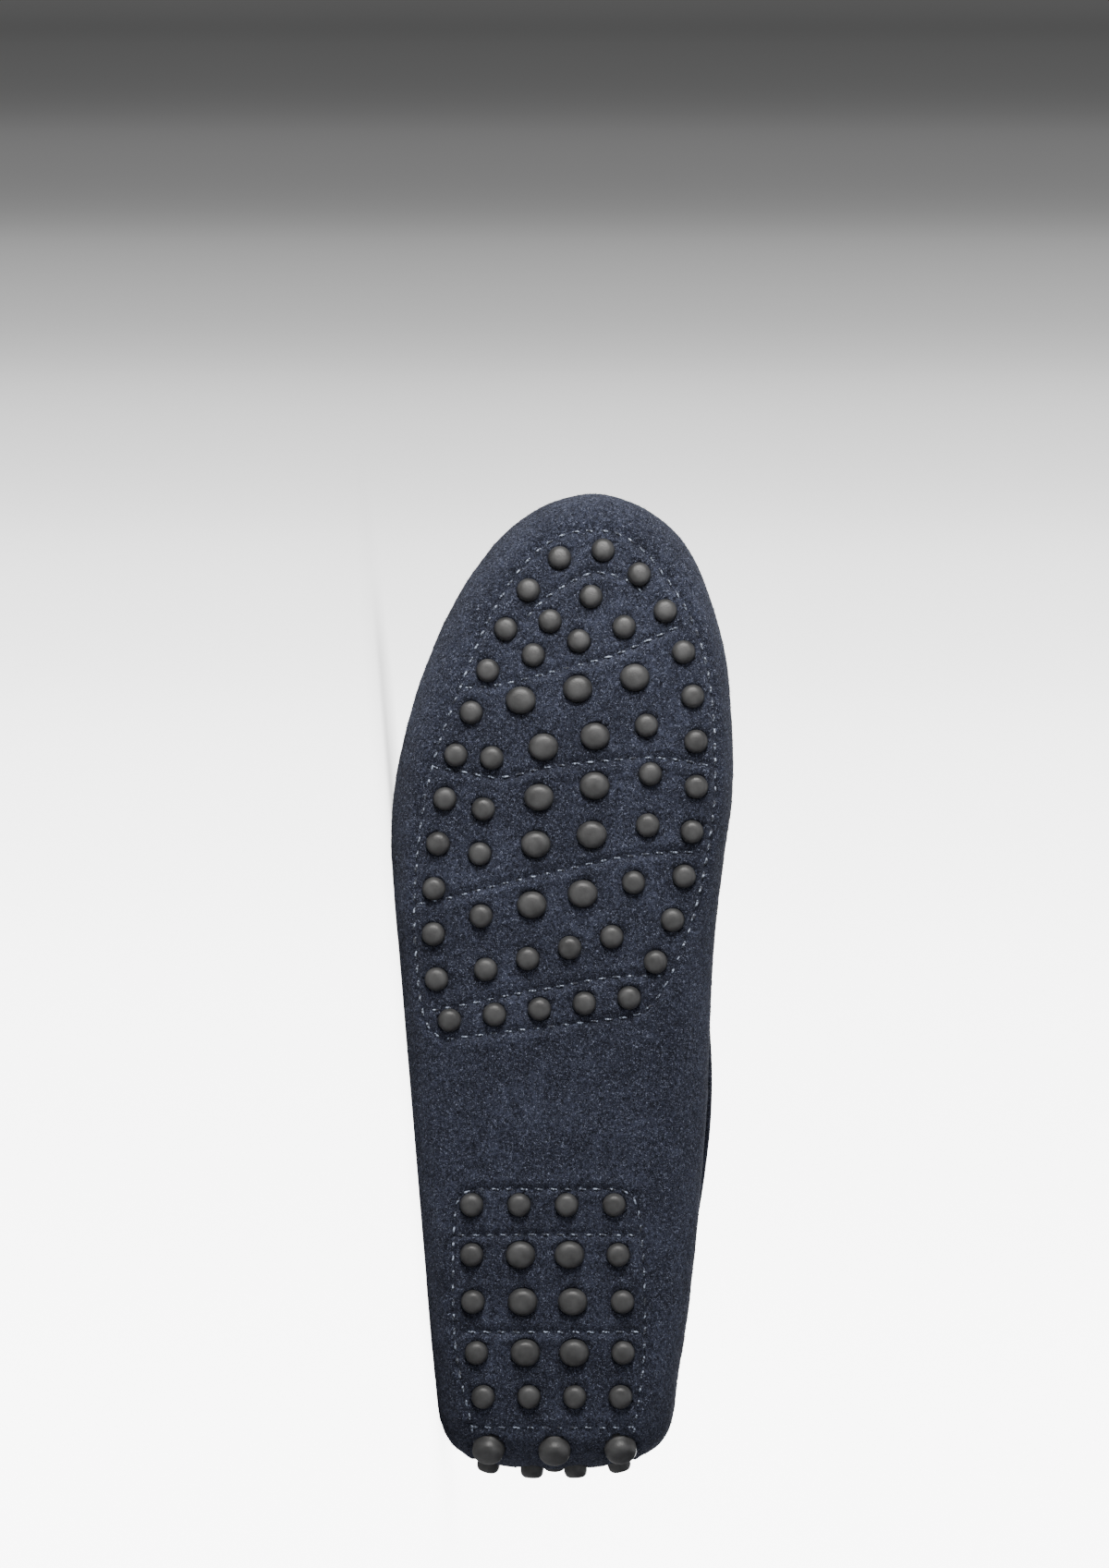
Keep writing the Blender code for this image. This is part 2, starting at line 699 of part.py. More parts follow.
def main():
    """Model the moccasin."""
    for thing in list(bpy.data.objects):
        bpy.data.objects.remove(thing, do_unlink=True)
    suede = material("navy_suede", (0.020, 0.026, 0.052), 0.9)
    rubber = material("grey_rubber", (0.085, 0.085, 0.083), 0.6)
    lining = material("dark_lining", (0.012, 0.014, 0.024), 0.8)

    upper = make_upper(suede)
    apron = make_apron(suede)
    binding = make_binding(suede)
    insole = make_insole(lining)
    forefoot = make_pad("forefoot_pad", FOREFOOT_PAD_ROWS, FOREFOOT_PAD_LINES, rubber)
    heel = make_pad("heel_pad", HEEL_PAD_ROWS, HEEL_PAD_LINES, rubber)
    pieces = [(upper, SUEDE_DENSITY), (apron, SUEDE_DENSITY), (binding, SUEDE_DENSITY),
              (insole, INSOLE_DENSITY), (forefoot, RUBBER_DENSITY), (heel, RUBBER_DENSITY)]

    normal, distance = resting_plane(pieces)
    press_flat(pieces, normal, distance)

    forefoot_studs = rim_studs(FOREFOOT_PAD_ROWS) + row_studs(FOREFOOT_STUD_ROWS)
    heel_studs = row_studs(HEEL_STUD_ROWS)
    cones = [stud_cones("forefoot_studs", forefoot_studs, False),
             stud_cones("heel_studs", heel_studs, False)]
    holes = stud_cones("stud_holes", forefoot_studs + heel_studs, True)
    join_with(forefoot, cones[0], "UNION")
    join_with(heel, cones[1], "UNION")
    join_with(upper, holes, "DIFFERENCE")

    made = [piece for piece, _ in pieces] + cones
    rest = lay_down(made, normal)
    for thing in made + [holes]:
        thing.parent = rest


main()
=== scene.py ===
"""Looks of the driving moccasin: napped navy suede, rubber studs, thread, collar and sock.

Everything is worked out on the upright shoe, in metres: x to the lateral side, y from
the heel to the toe, z up from the plane of the stud tips. Each piece is then laid on its
side by one matrix, read from the places of the CAD model's mounts.
"""
import bisect
import json
import math
import random

import bmesh
import bpy
from mathutils import Matrix, Quaternion, Vector, noise
from mathutils.kdtree import KDTree


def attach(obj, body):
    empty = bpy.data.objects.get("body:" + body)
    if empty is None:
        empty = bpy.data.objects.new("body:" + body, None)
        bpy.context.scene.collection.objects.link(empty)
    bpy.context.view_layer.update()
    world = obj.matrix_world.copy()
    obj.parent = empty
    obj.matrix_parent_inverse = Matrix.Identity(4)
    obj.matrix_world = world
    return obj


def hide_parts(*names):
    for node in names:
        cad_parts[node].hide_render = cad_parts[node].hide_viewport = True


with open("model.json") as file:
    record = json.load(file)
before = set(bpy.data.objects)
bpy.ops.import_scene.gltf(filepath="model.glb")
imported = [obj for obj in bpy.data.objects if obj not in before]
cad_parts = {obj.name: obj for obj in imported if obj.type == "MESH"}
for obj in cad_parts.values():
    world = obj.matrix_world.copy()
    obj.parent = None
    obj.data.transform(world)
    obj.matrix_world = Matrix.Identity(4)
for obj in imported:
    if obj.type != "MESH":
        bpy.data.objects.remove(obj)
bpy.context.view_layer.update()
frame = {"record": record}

# Driving sizes of the last, in metres
SHOE_LENGTH = 0.291
BALL_WIDTH = 0.1015
INSTEP_HEIGHT = 0.074
BACK_HEIGHT = 0.063
TOE_SPRING = 0.009
TOE_SPRING_START = 0.205
HEEL_CENTRE = 0.033
TOE_CENTRE = 0.042

# Walls and fits
SUEDE = 0.0018
PAD_SHEET = 0.0015
INSOLE = 0.003
INSOLE_INSET = 0.0022
CLEARANCE = 0.0003
SEAM_LIP = 0.0026
BINDING_DEPTH = 0.009
TONGUE_LENGTH = 0.024
TONGUE_RISE = 0.009
APRON_CROWN = 0.0075

# Rubber studs
STUD_PROUD = 0.003
STUD_PITCH = 0.0135
STUD_INSET = 0.0060
INSET_SHARE = 0.97
OUTLINE_STEPS = 120
STUD_DIAMETERS = {"s": 0.0070, "L": 0.0085, "X": 0.0092}
STUD_EXTRA = {"s": 0.0, "L": 0.0, "X": 0.0010}
STUD_SEGMENTS = 28
STUD_OVAL = 1.05

# Loose fibres of the nap
UPPER_FIBRES = 22000
APRON_FIBRES = 5000
FIBRE_LENGTH = 0.00085
FIBRE_WIDTH = 0.00006

# Thread and seams
STITCH_PITCH = 0.00265
PAD_STITCH_PITCH = 0.0043
PAD_STITCH_LENGTH = 0.0025
PAD_STITCH_WIDTH = 0.00062
STITCH_LENGTH = 0.00215
STITCH_WIDTH = 0.00080
STITCH_SUNK = 0.00064
TROUGH_DEPTH = 0.00110
TROUGH_WIDTH = 0.00095
TROUGH_REACH = 0.0042
TROUGH_AT_HOLE = 1.25
TROUGH_BETWEEN = 0.80
PAD_SEAM_INSET = 0.0002
GATHER_PITCH = 0.0052
SEAM_THREAD = 0.0010
THREAD_DARK = (0.009, 0.011, 0.021)

# One stitch: share of its length, thickness and lift, both as shares of the thread's width
STITCH_SHAPE = ((0.0, 0.35, -0.55), (0.12, 0.8, 0.05), (0.32, 1.0, 0.42), (0.5, 1.02, 0.52),
                (0.68, 1.0, 0.42), (0.88, 0.8, 0.05), (1.0, 0.35, -0.55))
STITCH_SIDES = 6

# Half the section of a stud: shares of its radius and of its height over the suede
STUD_DOME = ((0.985, 0.28), (0.955, 0.48), (0.89, 0.66), (0.80, 0.79), (0.69, 0.885),
             (0.56, 0.945), (0.34, 0.985), (0.0, 1.0))
STUD_NECK = 0.0006

# The apron seam's raised lip in section: distance inwards and height, in metres
LIP_SHAPE = ((-0.0004, -0.0030), (-0.0005, -0.0012), (-0.0004, 0.0006), (-0.0001, 0.0019),
             (0.0006, 0.0028), (0.0016, 0.0030), (0.0023, 0.0024), (0.0025, 0.0010),
             (0.0025, -0.0012))

# The folded band in section: share of BINDING_DEPTH up the wall, and depth in metres
BAND_SHAPE = ((0.02, -CLEARANCE), (-0.02, -0.0009), (0.06, -0.0014), (0.35, -0.0015),
              (0.75, -0.0015), (1.0, -0.0012), (1.08, -0.0004), (1.12, 0.0009), (1.08, 0.0022),
              (1.0, 0.0030), (0.75, 0.0033), (0.35, 0.0033), (0.06, 0.0030), (-0.02, 0.0026),
              (0.02, 0.0021), (0.5, 0.0020), (0.9, 0.0009), (0.5, -CLEARANCE),
              (0.02, -CLEARANCE))

# Along the shoe: the edge of the heel counter, and the slack hollow in front of it
COUNTER_EDGE = 0.074
HEEL_HOLLOW = 0.105

# Flex creases of the walls beside the ball: where, slant, depth, width, reach up the wall
WALL_CREASES = ((0.195, 0.30, 0.0005, 0.0034, 0.50), (0.207, 0.12, 0.0006, 0.0040, 0.60),
                (0.221, -0.12, 0.0004, 0.0036, 0.45))

# Creases across the vamp: where, depth, width, bow
VAMP_CREASES = ((0.176, 0.0012, 0.0040, 0.006), (0.190, 0.0014, 0.0045, 0.004),
                (0.205, 0.0010, 0.0042, -0.003), (0.163, 0.0007, 0.0035, 0.008))

# Heights of the wall where the lining leaves the pad's sheet and where it lies on the suede
LINING_FULL = 1.52
LINING_THIN = 1.86

# How close two vertices are when they become one
MERGE = 0.00002

# The last, a row for each section from the heel to the toe.
# along, rim_along: shares of SHOE_LENGTH.
# lateral, medial, tuck_lat, tuck_med, rim_lat, rim_med: shares of BALL_WIDTH.
# bulge: height of the widest place, a share of BACK_HEIGHT.
# rim_up: height of the rim, a share of BACK_HEIGHT behind and INSTEP_HEIGHT in front.
# instep: how far the rim's height follows INSTEP_HEIGHT. lip: share of SEAM_LIP.
LAST_COLUMNS = ("along", "lateral", "medial", "bulge", "tuck_lat", "tuck_med",
                "rim_along", "rim_lat", "rim_med", "rim_up", "instep", "lip")
LAST_ROWS = (
    (0.000, -0.010, 0.010, 0.28, 0.150, 0.150, 0.022, 0.000, 0.000, 1.00, 0.0, 0.0),
    (0.017, 0.275, 0.268, 0.26, 0.165, 0.165, 0.032, 0.190, 0.185, 0.98, 0.0, 0.0),
    (0.110, 0.357, 0.368, 0.22, 0.105, 0.110, 0.108, 0.300, 0.305, 0.90, 0.0, 0.0),
    (0.240, 0.391, 0.413, 0.20, 0.118, 0.138, 0.235, 0.350, 0.392, 0.82, 0.0, 0.0),
    (0.378, 0.426, 0.443, 0.20, 0.130, 0.160, 0.362, 0.385, 0.432, 0.80, 0.0, 0.0),
    (0.512, 0.455, 0.460, 0.20, 0.105, 0.135, 0.468, 0.360, 0.412, 0.77, 1.0, 0.0),
    (0.584, 0.474, 0.479, 0.20, 0.090, 0.105, 0.540, 0.300, 0.335, 0.85, 1.0, 0.6),
    (0.690, 0.468, 0.517, 0.20, 0.090, 0.095, 0.672, 0.275, 0.315, 0.72, 1.0, 1.0),
    (0.785, 0.412, 0.515, 0.20, 0.092, 0.095, 0.770, 0.240, 0.310, 0.61, 1.0, 1.0),
    (0.870, 0.319, 0.477, 0.20, 0.102, 0.098, 0.848, 0.160, 0.262, 0.54, 1.0, 1.0),
    (0.945, 0.185, 0.390, 0.20, 0.115, 0.110, 0.897, 0.065, 0.190, 0.51, 1.0, 1.0),
    (0.985, 0.050, 0.268, 0.20, 0.122, 0.118, 0.916, -0.012, 0.128, 0.50, 1.0, 1.0),
    (1.000, -0.112, 0.112, 0.20, 0.122, 0.122, 0.921, -0.075, 0.075, 0.50, 1.0, 1.0),
)

# The rubber pads, a row for each cross line. along: share of SHOE_LENGTH, measured over
# the suede where it turns up the heel. lateral, medial: shares of BALL_WIDTH.
# slope: how far the line runs back for each metre across.
PAD_COLUMNS = ("along", "lateral", "medial", "slope")
FOREFOOT_PAD_ROWS = (
    (0.455, 0.325, 0.246, 0.12),
    (0.472, 0.380, 0.303, 0.11),
    (0.516, 0.406, 0.364, 0.06),
    (0.584, 0.414, 0.424, 0.00),
    (0.670, 0.390, 0.468, 0.00),
    (0.739, 0.345, 0.474, 0.00),
    (0.808, 0.271, 0.458, 0.00),
    (0.866, 0.202, 0.412, 0.00),
    (0.914, 0.123, 0.330, 0.00),
    (0.947, 0.036, 0.250, 0.00),
    (0.963, -0.050, 0.175, 0.00),
)
HEEL_PAD_ROWS = (
    (-0.093, 0.150, 0.150, 0.00),
    (-0.076, 0.200, 0.195, 0.00),
    (-0.017, 0.222, 0.216, 0.00),
    (0.052, 0.250, 0.240, 0.00),
    (0.120, 0.291, 0.264, 0.00),
    (0.206, 0.300, 0.264, 0.00),
    (0.275, 0.289, 0.242, 0.00),
    (0.290, 0.246, 0.197, 0.00),
)

# Rows of studs inside the pads. along, across: the row's middle. pitch: share of
# BALL_WIDTH. slope: as above. sizes: one letter a stud, from lateral to medial.
STUD_COLUMNS = ("along", "across", "pitch", "slope", "sizes")
FOREFOOT_STUD_ROWS = (
    (0.530, 0.017, 0.123, 0.26, "ssss"),
    (0.585, -0.008, 0.149, 0.22, "sLLs"),
    (0.646, -0.027, 0.164, 0.17, "sLLs"),
    (0.695, -0.036, 0.163, 0.21, "sLLs"),
    (0.746, -0.043, 0.151, 0.21, "sLLs"),
    (0.800, -0.068, 0.167, 0.20, "LLL"),
    (0.849, -0.071, 0.133, 0.31, "sss"),
    (0.882, -0.047, 0.120, 0.60, "ss"),
)
HEEL_STUD_ROWS = (
    (-0.068, 0.000, 0.150, 0.00, "sss"),
    (-0.026, 0.002, 0.128, 0.00, "ssss"),
    (0.020, 0.000, 0.193, 0.00, "XXX"),
    (0.077, 0.008, 0.134, 0.00, "ssss"),
    (0.122, 0.014, 0.143, 0.00, "sLLs"),
    (0.174, 0.020, 0.146, 0.00, "sLLs"),
    (0.222, 0.028, 0.143, 0.00, "sLLs"),
    (0.273, 0.034, 0.139, 0.00, "ssss"),
)

# Which stud of its pad's rows each tread mount sits on
HEEL_TREAD_STUD = -7
FOREFOOT_TREAD_STUD = 5

# Quilting lines across the pads, each through a few places (x, y) in metres
QUILT_LINES = (
    ((0.0088, 0.2533), (0.0030, 0.2597), (-0.0083, 0.2666), (-0.0138, 0.2677),
     (-0.0221, 0.2652), (-0.0268, 0.2611)),
    ((0.0276, 0.2331), (0.0166, 0.2340), (0.0000, 0.2381), (-0.0166, 0.2425),
     (-0.0276, 0.2472), (-0.0373, 0.2517)),
    ((0.0376, 0.2097), (0.0276, 0.2083), (0.0163, 0.2063), (0.0028, 0.2094),
     (-0.0138, 0.2113), (-0.0273, 0.2124), (-0.0373, 0.2116), (-0.0467, 0.2099)),
    ((0.0417, 0.1688), (0.0329, 0.1702), (0.0196, 0.1738), (0.0097, 0.1762),
     (-0.0077, 0.1801), (-0.0171, 0.1823), (-0.0307, 0.1840), (-0.0420, 0.1843)),
    ((0.0376, 0.1370), (0.0262, 0.1390), (0.0122, 0.1420), (-0.0039, 0.1448),
     (-0.0138, 0.1467), (-0.0240, 0.1475), (-0.0331, 0.1475)),
    ((0.0298, 0.0704), (0.0000, 0.0706), (-0.0249, 0.0704)),
    ((0.0268, 0.0417), (0.0000, 0.0416), (-0.0262, 0.0417)),
    ((0.0262, 0.0130), (0.0000, 0.0132), (-0.0249, 0.0130)),
)

PAD_DEPTH = SUEDE + CLEARANCE
INSOLE_DEPTH = PAD_DEPTH + PAD_SHEET + CLEARANCE
LAST_ROW = len(LAST_ROWS) - 1
RING_TURNS = 2 * LAST_ROW
TOP = 2.0
LIP_START = 0.35
THROAT_ROW = 6
BINDING_ROW = 5.5
APRON_FRONT = 0.15
UP = Vector((0.0, 0.0, 1.0))
AHEAD = Vector((0.0, 1.0, 0.0))


def lying_matrix():
    """The matrix that lays the upright shoe down, from three of the frame's mounts."""
    mounts = {mount["name"]: mount for mount in frame["record"]["mounts"]}
    up = Vector(mounts["heel_seat"]["axis"]).normalized()
    back = Vector(mounts["heel_tread"]["pos_m"])
    front = Vector(mounts["forefoot_tread"]["pos_m"])
    heel_stud = stud_at(HEEL_STUD_ROWS, HEEL_TREAD_STUD)
    fore_stud = stud_at(FOREFOOT_STUD_ROWS, FOREFOOT_TREAD_STUD)
    run = (fore_stud - heel_stud).normalized()
    seen = front - back
    seen = (seen - up * seen.dot(up)).normalized()
    shoe = Matrix((run, UP.cross(run), UP)).transposed()
    row = Matrix((seen, up.cross(seen), up)).transposed()
    turn = row @ shoe.transposed()
    move = (front + back) / 2 - turn @ ((fore_stud + heel_stud) / 2)
    return Matrix.Translation(move) @ turn.to_4x4()


def curve_through(values, place, closed):
    """Read a smooth curve through rows of numbers, at a place counted in rows."""
    count = len(values)
    if closed:
        place %= count
    else:
        place = min(max(place, 0.0), count - 1.000001)
    start = int(math.floor(place))
    part = place - start

    def row(index):
        if closed:
            return values[index % count]
        return values[min(max(index, 0), count - 1)]

    before, here, there, after = row(start - 1), row(start), row(start + 1), row(start + 2)
    result = []
    for a, b, c, d in zip(before, here, there, after):
        bend = 2 * a - 5 * b + 4 * c - d
        twist = 3 * (b - c) + d - a
        result.append(b + 0.5 * part * (c - a + part * (bend + part * twist)))
    return result


# The dressed shoe is a little fuller than the last: how far the nap and the soft suede
# stand out at the sides, and at single rows of the ring the share of that, the squareness
# of the heel's corner across and along, and the flare of the medial topline
NAP_EASE = 0.0006
DRESSED_EASE = {
    0: (0.0, 0.0, -0.0010, 0.0), 12: (0.0, 0.0, 0.0006, 0.0), 24: (0.0, 0.0, -0.0010, 0.0),
    1: (1.0, 0.0010, 0.0002, 0.0), 23: (1.0, 0.0030, 0.0010, 0.0),
    19: (1.0, 0.0, 0.0, 0.0026), 20: (1.0, 0.0, 0.0, 0.0028), 21: (1.0, 0.0, 0.0, 0.0018),
    22: (1.0, 0.0, 0.0, 0.0006),
}


def last_ring():
    """Turn the last's rows into one ring: up the lateral side, back down the medial."""
    ring = []
    for index in range(RING_TURNS):
        lateral = index <= LAST_ROW
        row = LAST_ROWS[index if lateral else RING_TURNS - index]
        size = dict(zip(LAST_COLUMNS, row))
        side = 1.0 if lateral else -1.0
        ease, square, back, flare = DRESSED_EASE.get(index, (1.0, 0.0, 0.0, 0.0))
        across = size["lateral"] if lateral else size["medial"]
        tuck = size["tuck_lat"] if lateral else size["tuck_med"]
        rim_across = size["rim_lat"] if lateral else size["rim_med"]
        height = BACK_HEIGHT + (INSTEP_HEIGHT - BACK_HEIGHT) * size["instep"]
        ring.append((
            side * (across * BALL_WIDTH + NAP_EASE * ease + square),
            size["along"] * SHOE_LENGTH + back,
            size["bulge"] * BACK_HEIGHT,
            tuck * BALL_WIDTH,
            side * (rim_across * BALL_WIDTH + flare),
            size["rim_along"] * SHOE_LENGTH,
            size["rim_up"] * height,
            size["lip"],
        ))
    return ring


LAST_RING = last_ring()


def spring(y):
    """Rise of the bottom towards the toe."""
    reach = max(0.0, (y - TOE_SPRING_START) / (SHOE_LENGTH - TOE_SPRING_START))
    return TOE_SPRING * reach * reach


def bottom(x, y, depth):
    """A point on the flat of the bottom, at a depth under the outside of the suede."""
    slope = 2.0 * spring(y) / max(y - TOE_SPRING_START, 1e-6)
    normal = Vector((0.0, -slope, 1.0)).normalized()
    return Vector((x, y, STUD_PROUD + spring(y))) + normal * depth


class Section:
    """The curve of the shell in one upright cut, from the flat bottom to the rim."""

    def __init__(self, place):
        values = curve_through(LAST_RING, place, True)
        across = curve_through(LAST_RING, RING_TURNS - place, True)
        side = Vector((values[0], values[1], 0.0))
        length = SHOE_LENGTH - HEEL_CENTRE - TOE_CENTRE
        middle_x = (values[0] + across[0]) / 2
        self.middle = Vector((middle_x, HEEL_CENTRE + values[1] / SHOE_LENGTH * length, 0.0))
        self.out = (side - self.middle).normalized()
        self.reach = (side - self.middle).length - values[3]
        self.tuck = values[3]
        self.foot = self.middle + self.out * self.reach
        self.foot.z = STUD_PROUD + spring(self.foot.y)
        self.bulge = values[2] + STUD_PROUD + spring(values[1]) * 0.6
        self.side = Vector((side.x, side.y, self.bulge))
        self.rim = Vector((values[4], values[5], values[6] + STUD_PROUD))
        self.lip = min(max(values[7] - LIP_START, 0.0) / (1.0 - LIP_START), 1.0) * SEAM_LIP

    def point(self, height):
        """height 0 is the edge of the flat, 1 the widest place, 2 the rim."""
        if height <= 1.0:
            angle = height * math.pi / 2
            rise = (self.bulge - self.foot.z) * (1.0 - math.cos(angle))
            return self.foot + self.out * (self.tuck * math.sin(angle)) + UP * rise
        part = height - 1.0
        fullness = self.lip / SEAM_LIP
        shoulder = self.side.lerp(self.rim, 0.45 - 0.41 * fullness)
        shoulder.z = self.side.z + (0.60 + 0.28 * fullness) * (self.rim.z - self.side.z)
        low = self.side.lerp(shoulder, part)
        return low.lerp(shoulder.lerp(self.rim, part), part)


known_sections = {}


def section(place):
    """The section at a place, worked out once."""
    key = round(place, 5)
    if key not in known_sections:
        known_sections[key] = Section(place)
    return known_sections[key]


def skin(place, height, depth=0.0):
    """A point of the shell, moved in by depth along the wall's own normal."""
    step = 0.02
    here = section(place)
    along = section(place + step).point(height) - section(place - step).point(height)
    rise = here.point(min(height + step, TOP)) - here.point(max(height - step, 0.0))
    return here.point(height) - along.cross(rise).normalized() * depth


def turned_place(x, y):
    """The section and the height where x and y lie, or no height on the flat bottom."""
    spot = Vector((x, y, 0.0))
    low, high = 0.0, float(LAST_ROW)
    if x < section(LAST_ROW * max(y, 0.0) / SHOE_LENGTH).middle.x:
        low, high = float(RING_TURNS), float(LAST_ROW)
    for _ in range(22):
        place = (low + high) / 2
        cut = Section(place)
        turned = cut.out.cross(spot - cut.middle).z
        if (turned > 0) == (high > low):
            low = place
        else:
            high = place
    cut = Section((low + high) / 2)
    past = (spot - cut.middle).dot(cut.out) - cut.reach
    if past <= 0.0:
        return cut, (low + high) / 2, None
    height, step = 0.0, 0.02
    point = cut.point(0.0)
    while past > 0.0 and height < TOP:
        ahead = cut.point(height + step)
        run = (ahead - point).length
        height += step * min(1.0, past / run)
        past -= run
        point = ahead
    return cut, (low + high) / 2, height


def over_suede(x, y, depth):
    """A point of the bottom. x is across, y is measured over the suede up the heel."""
    guess = x
    for _ in range(7):
        cut, place, height = turned_place(guess, y)
        if height is None:
            return bottom(x, y, depth)
        guess += x - cut.point(height).x
    return skin(place, height, depth)


def pad_line(rows, share):
    """A cross line of a pad: its middle, its half width and its slope."""
    size = dict(zip(PAD_COLUMNS, curve_through(rows, share * (len(rows) - 1), False)))
    middle = (size["lateral"] - size["medial"]) / 2 * BALL_WIDTH
    half = (size["lateral"] + size["medial"]) / 2 * BALL_WIDTH
    return middle, size["along"] * SHOE_LENGTH, half, size["slope"]


def pad_spot(rows, share, place):
    """Where a pad's cross line has a place from -1, medial, to 1, lateral."""
    middle, along, half, slope = pad_line(rows, share)
    x = middle + half * place
    return x, along - slope * x


def row_studs(rows):
    """The studs of a pad's inner rows: across, along and size letter."""
    studs = []
    for row in rows:
        size = dict(zip(STUD_COLUMNS, row))
        count = len(size["sizes"])
        for index, letter in enumerate(size["sizes"]):
            step = (count - 1) / 2 - index
            x = (size["across"] + step * size["pitch"]) * BALL_WIDTH
            offset = step * size["pitch"] * BALL_WIDTH
            studs.append((x, size["along"] * SHOE_LENGTH - offset * size["slope"], letter))
    return studs


def pad_outline(rows):
    """The pad's outline as a closed list of flat places, lateral side first."""
    shares = [index / OUTLINE_STEPS for index in range(OUTLINE_STEPS + 1)]
    lateral = [pad_spot(rows, share, 1.0) for share in shares]
    medial = [pad_spot(rows, share, -1.0) for share in reversed(shares)]
    return [Vector(spot) for spot in lateral + medial]


def inset_loop(outline, inset):
    """The places one inset inside an outline."""
    middle = sum(outline, Vector((0.0, 0.0))) / len(outline)
    loop = []
    for index, spot in enumerate(outline):
        run = outline[(index + 3) % len(outline)] - outline[index - 3]
        inside = Vector((-run.y, run.x)).normalized()
        if inside.dot(middle - spot) < 0:
            inside = -inside
        moved = spot + inside * inset
        if min((moved - other).length for other in outline) > INSET_SHARE * inset:
            loop.append(moved)
    return loop


def even_steps(points, count):
    """Where count even steps end along a line of points, counted in points."""
    lengths = [0.0]
    for before, after in zip(points, points[1:]):
        lengths.append(lengths[-1] + (after - before).length)
    steps, index = [], 0
    for number in range(count + 1):
        want = number / count * lengths[-1]
        while index < len(points) - 2 and lengths[index + 1] < want:
            index += 1
        step = max(lengths[index + 1] - lengths[index], 1e-9)
        steps.append(index + (want - lengths[index]) / step)
    return steps


def along_loop(loop, pitch, closed=True):
    """Evenly pitched places along a line of flat places."""
    line = loop + loop[:1] if closed else loop
    total = sum((after - before).length for before, after in zip(line, line[1:]))
    count = max(1, round(total / pitch))
    places = []
    for step in even_steps(line, count)[:count if closed else count + 1]:
        index = min(int(step), len(line) - 2)
        places.append(line[index].lerp(line[index + 1], step - index))
    return places


def rim_studs(rows):
    """Small studs at an even pitch, one inset inside the pad's whole outline."""
    loop = inset_loop(pad_outline(rows), STUD_INSET)
    return [(spot.x, spot.y, "s") for spot in along_loop(loop, STUD_PITCH)]


def stud_at(rows, index):
    """The tip of a stud on the flat of the bottom."""
    x, y, _ = row_studs(rows)[index]
    return Vector((x, y, 0.0))


SHOE_TO_ROW = lying_matrix()
FOREFOOT_STUDS = rim_studs(FOREFOOT_PAD_ROWS) + row_studs(FOREFOOT_STUD_ROWS)
HEEL_STUDS = row_studs(HEEL_STUD_ROWS)


class Graph:
    """Short calls that add nodes to one material, world or node group."""

    def __init__(self, tree, place=None):
        self.nodes, self.links, self.place = tree.nodes, tree.links, place

    def fill(self, node, sockets):
        """Set a node's inputs, by name or number, to values or to other nodes' outputs."""
        for name, value in sockets.items():
            if isinstance(value, bpy.types.NodeSocket):
                self.links.new(value, node.inputs[name])
            else:
                node.inputs[name].default_value = value

    def node(self, kind, sockets, **settings):
        """The outputs of a new node."""
        made = self.nodes.new("ShaderNode" + kind)
        for name, value in settings.items():
            setattr(made, name, value)
        self.fill(made, sockets)
        return made.outputs

    def noise(self, scale, detail, rough=0.5, distort=0.0):
        """Noise in the object's own coordinates."""
        return self.node("TexNoise", {"Vector": self.place, "Scale": scale, "Detail": detail,
                                      "Roughness": rough, "Distortion": distort})["Fac"]

    def sums(self, kind, first, second):
        """One sum of two values."""
        return self.node("Math", {0: first, 1: second}, operation=kind)["Value"]

    def step(self, value, low, high):
        """A soft step, 0 at low and 1 at high."""
        return self.node("MapRange", {"Value": value, "From Min": low, "From Max": high},
                         interpolation_type="SMOOTHSTEP")["Result"]

    def ramp(self, value, first, last, low=0.0, high=1.0):
        """A straight ramp, first at low and last at high."""
        return self.node("MapRange", {"Value": value, "From Min": low, "From Max": high,
                                      "To Min": first, "To Max": last})["Result"]

    def tint(self, value, stops, blend="LINEAR"):
        """A colour for a value, from stops of place and colour."""
        made = self.nodes.new("ShaderNodeValToRGB")
        made.color_ramp.interpolation = blend
        ramp = made.color_ramp.elements
        while len(ramp) < len(stops):
            ramp.new(0.5)
        for stop, (share, color) in zip(ramp, stops):
            stop.position = share
            stop.color = (*color, 1.0)
        self.links.new(value, made.inputs["Fac"])
        return made.outputs["Color"]

    def bump(self, height, strength, distance):
        """A normal that follows a relief."""
        return self.node("Bump", {"Height": height, "Strength": strength,
                                  "Distance": distance})["Normal"]


